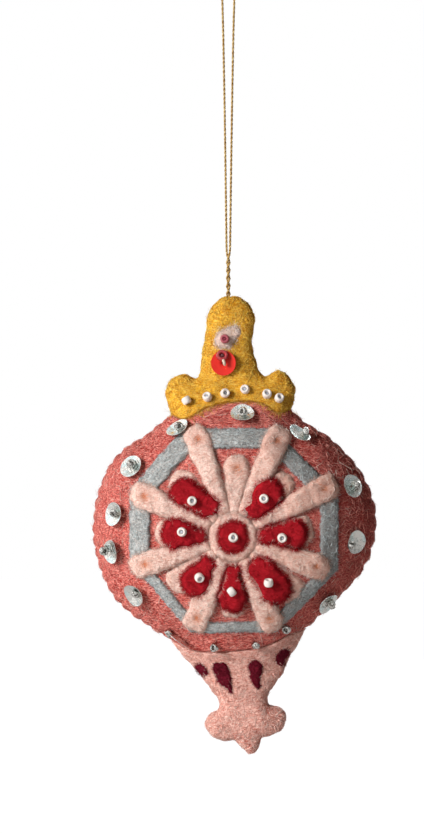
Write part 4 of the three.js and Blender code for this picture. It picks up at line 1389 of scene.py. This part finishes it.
class ORNAMENT_OT_stitches(bpy.types.Operator):
    """Sew whip stitches over every valley of the sewn edge"""

    bl_idname = "ornament.stitches"
    bl_label = "Stitches"

    def execute(self, context):
        for region, kind in (("body", "coral"), ("cap", "yellow"), ("tail", "pink")):
            parts = self.edge_stitches(region)
            made = parts.object(f"{region}_stitches", self.material(kind), kind + "_felt")
            made["stitches"] = region
        return {"FINISHED"}

    def material(self, kind):
        """Sewing thread in the felt's own colour, a little paler, with a fine twist."""
        base, _, pale = wool(kind)
        material, tree = new_material(kind + "_thread")
        twist = noise(tree, place_of(tree), 0.5 * MM)["Fac"]
        return finished(material, tree, {
            "Base Color": mixed(tree, twist, base, pale), "Roughness": 0.8,
            "Specular IOR Level": 0.2,
        })

    def edge_stitches(self, region):
        """One bent thread per valley: from the front face over the rim to the back face."""
        s, t = settings("shape"), settings("trim")
        rng = np.random.default_rng(SEED + 300)
        ring = regions()[region]
        line, out = ring["line"], outward(ring["line"])
        valleys = np.flatnonzero((ring["swell"] < 1e-6) & (ring["sewn"] > 0))
        depths = np.array([2.3, 1.9, 1.45, 1.0, 0.65, 0.35, 0.12]) * MM
        parts = Parts()
        for i in valleys:
            slant = np.array([-out[i][1], out[i][0]]) * rng.uniform(0.1, 0.45) * depths[:, None]
            away = depths * rng.uniform(0.8, 1.15)
            if np.hypot(line[i][0], line[i][1] - CAP_TOP) < 1.8 * MM:
                continue  # the cord goes in here
            slack = ring["sewn"][i]
            drawn = line[i] - out[i] * (away - slack * edge_shift(0, away))[:, None]
            height = face_height(line[i] - out[i] * away[:, None] + slant)
            inner = np.maximum(height - s.felt, s.gap / 2)
            puff = -0.2 * MM * slack * np.exp(-away / PUFF_REACH)
            top = inner + (height + puff - inner) * roll(away / s.edge_radius) + 0.25 * t.thread
            top[0] -= 0.8 * t.thread
            front, back = lifted(drawn + slant, top), lifted(drawn - slant, -top)[::-1]
            tip = line[i] + out[i] * (slack * edge_shift(0, 0) + 0.1 * MM)
            path = smooth_line(np.vstack([front, [(tip[0], 0, tip[1])], back]), 18)
            parts.add(*tube(path, t.thread / 2, 6))
        return parts


def bead_material(
    name, colour, roughness, metallic=0.0, coat=0.4, dents=0.35, specular=0.5, thread="#B7BAC4"
):
    """Glass bead with a clear coat, dented a little, and the sewing thread that fills its hole.

    A metallic bead has dark streaks painted on, which stand in for dark reflections in the glass.
    """
    material, tree = new_material(name)
    place = place_of(tree)
    if metallic:
        # Painted reflection: dark streaks from noise on the metallic bead.
        painted_dark_reflection = ranged(tree, noise(tree, place, 0.7 * MM, 2, Distortion=1.5)["Fac"], 0.44, 0.5)
        colour = mixed(tree, painted_dark_reflection, linear("#6E6963"), colour)
    return finished(material, tree, {
        "Base Color": mixed(tree, attribute(tree, "thread"), colour, linear(thread)),
        "Roughness": roughness, "Specular IOR Level": specular, "Metallic": metallic,
        "Coat Weight": coat, "Coat Roughness": 0.08,
        "Normal": bumped(tree, noise(tree, place, 0.9 * MM)["Fac"], 0.15 * MM, dents),
    })


class ORNAMENT_OT_beads(bpy.types.Operator):
    """Sew the white seed beads, the pink bead and the silver beads at the body's foot"""

    bl_idname = "ornament.beads"
    bl_label = "Beads"

    def execute(self, context):
        t, c, pads = settings("trim"), settings("colours"), flower_pads()
        rng = np.random.default_rng(SEED + 1)
        pearl = bead_material("pearl_glass", c.pearl, 0.22), "pearl_glass"
        dim = [0.85 * v for v in c.silver]
        silver = bead_material("silver_bead", dim, 0.08, 1.0, dents=1.0, thread="#77726C")
        pink = bead_material("pink_glass", linear("#AC5560"), 0.4, coat=0.1, thread="#8A3546")
        shape = (t.bead_radius, t.bead_hole, t.bead_half_height)
        small = (t.silver_radius, SMALL_HOLE, t.silver_half_height)
        for i, place in enumerate(on_region("cap", CAP_BEAD_SHARES), 1):
            tilt = 1.2 if i == 1 else rng.uniform(0, 0.3)
            name = f"cap_bead_{i}"
            self.bead(name + "_glass", place, felt_top, pearl, shape, tilt, rng, name)
        sideways = {3: 1.3, 4: 1.4, 5: 0.5}
        for i, pad in enumerate(pads["hearts"], 1):
            tilt = sideways.get(i, rng.uniform(0.1, 0.4))
            place = from_centre(HEART_SHARES[i - 1][2])
            self.bead(f"heart_bead_{i}_glass", place, pad.top, pearl, shape, tilt, rng)
        top = pads["centre"].top
        self.bead("centre_bead_glass", flower_centre(), top, pearl, shape, 0.25, rng)

        def spot_height(points):
            return felt_top(points) + 0.5 * MM

        place = on_region("cap", SPOT_SHARES[2])[0]
        self.bead("cap_spot_bead", place, spot_height, (pink, "burgundy_wool"), small, 0.2, rng)
        look = silver, "silver_glass"
        for i, place in enumerate(on_region("body", CRYSTAL_SHARES), 1):
            name = f"crystal_bead_{i}"
            self.bead(f"crystal_{i}_glass", place, felt_top, look, small, 0.9, rng, name)
        return {"FINISHED"}

    def bead(self, name, place, height, look, shape, tilt, rng, *replaced):
        """One bead with its hole along the surface normal, tipped by tilt and sunk a little."""
        spot, across, up, out = basis_on(place, height)
        axes = tilted(across, up, out, rng.uniform(0, 2 * math.pi), tilt)
        lift = shape[2] * math.cos(tilt) + shape[0] * math.sin(tilt) - 0.5 * MM
        made = threaded_bead(*shape, spot + out * lift, axes).object(name, *look)
        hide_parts(*replaced)


class ORNAMENT_OT_sequins(bpy.types.Operator):
    """Sew the silver cup sequins with their beads, and the red sequin on the cap"""

    bl_idname = "ornament.sequins"
    bl_label = "Sequins"

    def execute(self, context):
        t, c = settings("trim"), settings("colours")
        rng = np.random.default_rng(SEED + 2)
        foil = self.foil()
        silver = bpy.data.materials.get("silver_bead")
        if silver is None:
            raise RuntimeError("the beads come before the sequins")
        for i, place in enumerate(on_region("body", SEQUIN_SHARES), 1):
            self.sequin(i, place, SEQUIN_BEAD_SHARES[i - 1], foil, silver, rng)
        self.red_sequin(t, c)
        return {"FINISHED"}

    def cup(self, radius, hole, depth, sheet, facets, seed):
        """A cup sequin: a flat middle and a rim in flat facets, and the same one sheet lower."""
        segments = facets * 4
        turn = np.arange(segments) * 2 * math.pi / segments
        width = 2 * math.pi / facets
        across = np.cos((turn + width / 2) % width - width / 2)
        rows = []
        for r in (hole, 0.42 * radius, 0.7 * radius, 0.97 * radius, radius):
            share = (r * across / math.cos(width / 2) - 0.4 * radius) / (0.6 * radius)
            high = depth * np.minimum(np.clip(share, 0, None), 1.05)
            rows.append(np.column_stack([r * np.cos(turn), r * np.sin(turn), high]))
        top = np.array(rows)
        x, y = top[..., 0], top[..., 1]
        lean, saddle = np.random.default_rng(seed).uniform(-0.1, 0.1, 2)
        top[..., 2] += x * lean + (x**2 - y**2) * saddle / radius
        under = top[::-1] - (0, 0, sheet)
        profile = np.vstack([top, under])
        return profile.reshape(-1, 3), grid_quads(len(profile), segments)

    def disc(self, name, cup, place, axes, material, slot, smooth, replaced):
        """A sequin's own mesh, turned to lie at a place."""
        vertices, faces = cup
        vertices = placed(vertices, place, *axes)
        faces = solid_way_out(vertices, faces)
        made = mesh_object(name, vertices, faces, material, slot, smooth=smooth)
        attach(made, BODY)
        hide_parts(replaced)

    def sequin(self, number, place, bead_share, foil, silver, rng):
        """One silver cup, leaning out by a little, and its bead somewhere on it."""
        t, name = settings("trim"), f"sequin_{number}"
        spot, across, up, out = basis_on(place, felt_top, SEQUIN_SEAT)
        away = place - on_region("body", (0, 0))[0]
        lean = 0.75 if number == len(SEQUIN_SHARES) else rng.uniform(0.12, 0.28)
        axes = tilted(across, up, out, math.atan2(away[1], away[0]), lean)
        cup = self.cup(t.sequin_radius, 0.15 * MM, t.sequin_cup, t.sequin_sheet, 7, number)
        lift = 0.35 * MM + 0.5 * t.sequin_radius * math.sin(lean)
        self.disc(name + "_foil", cup, spot + out * lift, axes, foil, "silver_plastic", False, name)
        beyond = np.hypot(*bead_share) > 0.7
        shift = (across * bead_share[0] + up * bead_share[1]) * t.sequin_radius
        tilt = rng.uniform(0.5, 1.2)
        turned = tilted(across, up, out, rng.uniform(0, 2 * math.pi), tilt)
        lift = t.silver_radius * 0.9 + (0.1 if beyond else 0.35) * MM
        shape = (t.silver_radius, SMALL_HOLE, t.silver_half_height)
        parts = threaded_bead(*shape, spot + shift + out * lift, turned)
        parts.object(name + "_bead", silver, "silver_glass")

    def red_sequin(self, t, c):
        """A flat red sequin, its bead lying on the upper half and the knot that holds them."""
        plastic = bead_material("red_plastic", c.red_plastic, 0.4, coat=0.0, specular=0.2)
        glass = bead_material("red_glass", linear("#B0262B"), 0.1, coat=0.6, thread="#5A1018")
        thread = bead_material("knot_thread", linear("#E3D0BC"), 0.9, coat=0.0)
        slot = "red_plastic"
        place, bead_place = on_region("cap", RED_SEQUIN_SHARES)
        spot, *axes = basis_on(place, felt_top, SEQUIN_SEAT)
        cup = self.cup(t.red_radius, 0.4 * MM, 0.12 * MM, 0.3 * MM, 12, 50)
        spot = spot + axes[2] * 0.5 * MM
        self.disc("red_sequin_plastic", cup, spot, axes, plastic, slot, True, "cap_sequin")
        spot, across, up, out = basis_on(bead_place, felt_top, SEQUIN_SEAT)
        axes = tilted(across, up, out, 1.4, 0.35)
        shape = (1.3 * t.bead_radius, 0.6 * MM, 0.75 * t.bead_half_height)
        threaded_bead(*shape, spot + out * 1.5 * MM, axes).object("red_sequin_bead", glass, slot)
        start = spot + out * 1.9 * MM
        reach = [(0.2, -0.9, 0.1), (0.4, -1.5, 0.45), (0.6, -2.1, 0.4), (0.7, -2.5, -0.5)]
        path = smooth_line(start + np.array(reach) * MM @ np.array([across, up, out]), 12)
        knot = mesh_object("red_sequin_knot", *tube(path, 0.42 * MM, 8), thread, slot)
        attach(knot, BODY)

    def foil(self):
        """Silvered plastic: mirror like, with broad dents that break up what it reflects."""
        material, tree = new_material("silver_foil")
        place = place_of(tree)
        dents = noise(tree, place, 0.9 * MM, 2, Distortion=1.2)["Fac"]
        tint = ranged(tree, noise(tree, place, 2 * MM, 0)["Fac"], 0.45, 0.6)
        shade = mixed(tree, tint, settings("colours").silver, linear("#DDEAE8"))
        return finished(material, tree, {
            "Base Color": shade, "Metallic": 1.0, "Roughness": 0.08,
            "Normal": bumped(tree, dents, 0.3 * MM, 0.9),
        })


class ORNAMENT_OT_fuzz(bpy.types.Operator):
    """Scatter loose wool fibres over every felt, and a fringe of them over each soft edge"""

    bl_idname = "ornament.fuzz"
    bl_label = "Fuzz"

    # Fibres on each wool, their length in mm, the share that stands off, and the fringe: fibres
    # for each mm of edge and their length in mm. Real fibres are 0.03 mm thick; these are drawn at
    # 0.07 mm, the palest at 0.14 mm and the fringe at 0.04 mm, so that a pixel still shows them.
    WOOLS = {
        "coral": (16000, 2.6, 0.05, 0, 0),
        "yellow": (7500, 2.2, 0.05, 13, 2.2),
        "pink": (7000, 2.2, 0.05, 0, 0),
        "petal": (7000, 1.7, 0.04, 15, 1.2),
        "grey": (4200, 1.9, 0.05, 26, 0.8),
        "red": (3600, 1.3, 0.06, 52, 1.3),
        "burgundy": (700, 1.2, 0.06, 60, 1.0),
        "spot": (260, 1.2, 0.05, 60, 1.7),
    }

    def execute(self, context):
        for seed, (kind, (count, length, stray, dense, fringe)) in enumerate(self.WOOLS.items()):
            rng = np.random.default_rng(SEED + 500 + seed)
            roots, normals = self.roots(kind, count, rng)
            base, dark, pale = wool(kind)
            dark = tuple(a + (b - a) * 0.7 for a, b in zip(base, dark))
            sets = [self.lying(roots, normals, length * MM, stray, rng)]
            sets += [self.fringe(*edge, dense, fringe * MM, rng) for edge in self.edges(kind)]
            self.made(kind, sets, dark, pale, rng)
        rng = np.random.default_rng(SEED + 520)
        found = [self.roots(kind, count, rng) for kind, count in (("coral", 700), ("petal", 60))]
        roots, normals = (np.vstack(rows) for rows in zip(*found))
        pale = linear("#F4D6C8")
        self.made("stray", [self.lying(roots, normals, 4 * MM, 0.12, rng)], pale, pale, rng, 1.35)
        return {"FINISHED"}

    def made(self, kind, sets, dark, pale, rng, heft=1):
        """One object of fibres. Every set after the first is a fringe, which is finer."""
        path = np.concatenate([s[0] for s in sets], axis=1)
        normals, side = (np.concatenate([s[i] for s in sets]) for i in (1, 2))
        tone = rng.beta(1.1, 1.1, len(side))
        thick = heft * 0.033 * MM * (rng.uniform(0.8, 1.2, len(side)) + 1.1 * (tone > 0.82))
        thick[sets[0][0].shape[1] :] *= 0.6
        name, tones = kind + "_fuzz", {"tone": np.repeat(tone, 8)}
        spindles = self.spindles(path, normals, side, thick)
        made = mesh_object(name, *spindles, fuzz_material(name, dark, pale), None, tones)
        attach(made, BODY)

    def edges(self, kind):
        """The soft edges of one wool: their lines, which way they look, and their own height."""
        pads = flower_pads()
        own = {
            "petal": [*pads["long"], *pads["short"], pads["disc"]],
            "red": [*pads["hearts"], pads["centre"]],
            "burgundy": drop_pads(),
            "spot": [spot_pad()],
        }
        edges = [(pad.outline, 1, pad.rise) for pad in own.get(kind, [])]
        if kind == "grey":
            for line, way in zip(band_corners(), (1, -1)):
                edges.append((closed_steps(line[::-1], SMOOTH_STEP), way, band_rise))
        if kind == "yellow":
            edges.append((regions()["cap_join"]["line"], 1, None))
        return edges

    def fringe(self, line, way, rise, dense, length, rng):
        """Short fibres that start inside an edge and cross it onto whatever lies beside it."""
        run = unit(np.gradient(line, axis=0))
        count = int(arc_lengths(line)[-1] / MM * dense)
        place = rng.integers(0, len(line), count)
        out = turned_right(run)[place] * way
        start = line[place] - out * rng.uniform(0.1, 0.6, (count, 1)) * MM
        if rise:
            on_top = rise(start) > surface(start) - felt_top(start) + 0.1 * MM
            start, out, count = start[on_top], out[on_top], on_top.sum()
        turn = rng.normal(0, 0.8, count)
        c, s = np.cos(turn), np.sin(turn)
        run = np.column_stack([out[:, 0] * c - out[:, 1] * s, out[:, 0] * s + out[:, 1] * c])
        long = length * rng.lognormal(-0.15, 0.35, count)
        bent = long * rng.normal(0, 0.12, count)
        bend = np.column_stack([-run[:, 1], run[:, 0]]) * bent[:, None]
        middle = [start + run * (long / part)[:, None] + bend for part in (3, 1.5)]
        spots = [start, *middle, start + run * long[:, None]]
        tops = np.array([surface(spot) for spot in spots])
        share = np.array([0, 1 / 3, 2 / 3, 1])[:, None]
        straight = tops[0] + (tops[3] - tops[0]) * share
        lift = np.array([-0.05, 0.08, 0.1, 0.02])[:, None] * MM * rng.uniform(0.5, 1.4, count)
        high = np.maximum(0.6 * tops + 0.4 * straight, tops) + lift
        path = [lifted(spot, h) for spot, h in zip(spots, high)]
        normals = np.tile((0.0, -1.0, 0.0), (count, 1))
        side = np.column_stack([-run[:, 1], np.zeros(count), run[:, 0]])
        return np.stack(path), normals, side

    def read(self, items, key, width, kind=np.float32):
        """Rows of one value of some of a mesh's items."""
        values = np.empty(len(items) * width, kind)
        items.foreach_get(key, values)
        return values.reshape(-1, width)

    def roots(self, kind, count, rng):
        """Seeded places spread evenly over the outer faces of all pieces of one wool."""
        corners, weights = [], []
        for piece in [o for o in bpy.data.objects if o.get("wool") == kind]:
            mesh = piece.data
            mesh.calc_loop_triangles()
            tris = self.read(mesh.loop_triangles, "vertices", 3, np.int32)
            nap = self.read(mesh.attributes["nap"].data, "value", 1)[:, 0]
            corner = self.read(mesh.vertices, "co", 3)[tris].astype(float)
            a, b, c = corner[:, 0], corner[:, 1], corner[:, 2]
            area = np.linalg.norm(np.cross(b - a, c - a), axis=1)
            keep = nap[tris].min(1) > 0.5
            corners.append(corner[keep])
            weights.append(area[keep])
        if not corners:
            raise RuntimeError(f"no piece of {kind} wool to put fibres on")
        corners, weights = np.concatenate(corners), np.concatenate(weights)
        chosen = corners[rng.choice(len(corners), count, p=weights / weights.sum())]
        u, v = rng.random((2, count, 1))
        over = u + v > 1
        u, v = np.where(over, 1 - u, u), np.where(over, 1 - v, v)
        a, b, c = chosen[:, 0], chosen[:, 1], chosen[:, 2]
        normals = unit(np.cross(b - a, c - a))
        return a + (b - a) * u + (c - a) * v, normals

    def lying(self, roots, normals, length, stray, rng):
        """Paths of bent fibres that lie on the felt, a share of them standing off at one end."""
        count = len(roots)
        run = unit(np.cross(normals, rng.normal(size=(count, 3))))
        side = np.cross(normals, run)
        long = length * rng.lognormal(-0.1, 0.35, (count, 1))
        bend = long * rng.normal(0, 0.16, (count, 2))
        lift = rng.uniform(0.01, 0.12, (count, 2)) * MM
        low = -0.04 * MM - long**2 / (8 * 14 * MM)
        stands = (rng.random((count, 1)) < stray) * rng.uniform(0.3, 1.0, (count, 1)) * MM
        path = np.stack(
            [
                roots - run * long / 2 + normals * low,
                roots - run * long / 6 + side * bend[:, :1] + normals * lift[:, :1],
                roots + run * long / 6 + side * bend[:, 1:] + normals * (lift[:, 1:] + stands / 3),
                roots + run * long / 2 + normals * (np.where(stands > 0, 0, low) + stands),
            ]
        )
        return path, normals, side

    def spindles(self, path, normals, side, thick):
        """Closed spindles of eight points: a tip, two rings of three and a tip."""
        count, thick = path.shape[1], thick[:, None]
        vertices = np.empty((count, 8, 3))
        vertices[:, 0], vertices[:, 7] = path[0], path[3]
        for ring in (1, 2):
            for k in range(3):
                turn = math.pi / 2 + k * 2 * math.pi / 3
                vertices[:, ring * 3 - 2 + k] = (
                    path[ring] + (normals * math.sin(turn) + side * math.cos(turn)) * thick
                )
        one = [(0, 2, 1), (0, 3, 2), (0, 1, 3)]
        for k in range(3):
            n = (k + 1) % 3
            one += [(1 + k, 1 + n, 4 + n), (1 + k, 4 + n, 4 + k)]
        one += [(7, 4, 5), (7, 5, 6), (7, 6, 4)]
        faces = np.array(one)[None] + 8 * np.arange(count)[:, None, None]
        vertices = vertices.reshape(-1, 3)
        return vertices, solid_way_out(vertices, faces.reshape(-1, 3))


class ORNAMENT_OT_stage(bpy.types.Operator):
    """Set a pale floor, white surroundings and soft studio light from the left"""

    bl_idname = "ornament.stage"
    bl_label = "Stage"

    def execute(self, context):
        s = settings("stage")
        self.floor(s)
        self.world(context, s)
        key = self.light("key", (-0.92, -0.8, 0.28), 0.5, s.key)
        key.visible_glossy = False
        self.light("back", (0.25, 1.15, 0.15), 0.8, 0.7 * s.key)
        context.scene.view_settings.view_transform = "Standard"
        return {"FINISHED"}

    def either(self, tree, share, a, b):
        """One shader or the other, by a share or by the kind of ray."""
        sockets = {0: share, 1: a.outputs[0], 2: b.outputs[0]}
        return node(tree, "ShaderNodeMixShader", inputs=sockets)

    def floor(self, s):
        """A pale floor that looks white to the camera and keeps a trace of shadow."""
        material, tree = new_material("floor")
        rays = node(tree, "ShaderNodeLightPath").outputs
        plain = node(tree, "ShaderNodeBsdfDiffuse", inputs={"Color": (0.85, 0.85, 0.85, 1)})
        white = node(tree, "ShaderNodeEmission", inputs={"Color": WHITE, "Strength": 1.06})
        seen = self.either(tree, 0.95, plain, white)
        shown = self.either(tree, rays["Is Camera Ray"], plain, seen)
        node(tree, "ShaderNodeOutputMaterial", inputs={"Surface": shown.outputs[0]})
        r = 2.5
        corners = [(x, y, s.floor) for x, y in ((-r, -r), (r, -r), (r, r), (-r, r))]
        mesh_object("floor", corners, [(0, 1, 2, 3)], material, smooth=False)

    def world(self, context, s):
        """White to the camera, a bright studio with dark gaps to mirrors, and dim otherwise."""
        world = bpy.data.worlds.new("studio")
        world.use_nodes = True
        tree = world.node_tree
        tree.nodes.clear()

        def glow(strength, colour=WHITE):
            sockets = {"Color": colour, "Strength": strength}
            return node(tree, "ShaderNodeBackground", inputs=sockets)

        rays = node(tree, "ShaderNodeLightPath").outputs
        place = node(tree, "ShaderNodeTexCoord").outputs["Generated"]
        across = node(tree, "ShaderNodeSeparateXYZ", inputs={0: place}).outputs[0]
        side = ranged(tree, across, -0.7, 0.7, 1.7, 0.45)
        patches = ranged(tree, noise(tree, place, 1 / 6, 2)["Fac"], 0.42, 0.47, 0.12, 1.0)
        studio, dim = glow(product(tree, side, patches)), glow(s.fill, (1, 0.7, 0.58, 1))
        unseen = self.either(tree, rays["Is Glossy Ray"], dim, studio)
        shown = self.either(tree, rays["Is Camera Ray"], unseen, glow(1.0))
        node(tree, "ShaderNodeOutputWorld", inputs={"Surface": shown.outputs[0]})
        context.scene.world = world

    def light(self, name, place, size, power):
        """A square lamp that faces the ornament."""
        data = bpy.data.lights.new(name, "AREA")
        data.size, data.energy = size, power
        light = linked(name, data)
        light.location = place
        aim = Vector((0, 0, -0.15)) - Vector(place)
        light.rotation_euler = aim.to_track_quat("-Z", "Y").to_euler()
        return light


class ORNAMENT_PT_panel(bpy.types.Panel):
    """Lists the ornament's steps"""

    bl_label = "Felt Ornament"
    bl_idname = "ORNAMENT_PT_panel"
    bl_space_type = "VIEW_3D"
    bl_region_type = "UI"
    bl_category = "Ornament"

    def draw(self, context):
        for operator in OPERATORS:
            self.layout.operator(operator.bl_idname)
        for name, group in GROUPS.items():
            box = self.layout.box()
            box.label(text=name)
            for key in group.__annotations__:
                box.prop(getattr(context.scene, name), key)


OPERATORS = [
    ORNAMENT_OT_camera,
    ORNAMENT_OT_cord,
    ORNAMENT_OT_shells,
    ORNAMENT_OT_stuffing,
    ORNAMENT_OT_band,
    ORNAMENT_OT_petals,
    ORNAMENT_OT_hearts,
    ORNAMENT_OT_stitches,
    ORNAMENT_OT_beads,
    ORNAMENT_OT_sequins,
    ORNAMENT_OT_fuzz,
    ORNAMENT_OT_stage,
]
CLASSES = [*GROUPS.values(), *OPERATORS, ORNAMENT_PT_panel]


def register():
    for item in CLASSES:
        bpy.utils.register_class(item)
    for name, group in GROUPS.items():
        setattr(bpy.types.Scene, name, bpy.props.PointerProperty(type=group))


def unregister():
    for name in GROUPS:
        delattr(bpy.types.Scene, name)
    for item in reversed(CLASSES):
        bpy.utils.unregister_class(item)


def main():
    register()
    for operator in OPERATORS:
        section, name = operator.bl_idname.split(".")
        getattr(getattr(bpy.ops, section), name)()


if __name__ == "__main__":
    main()
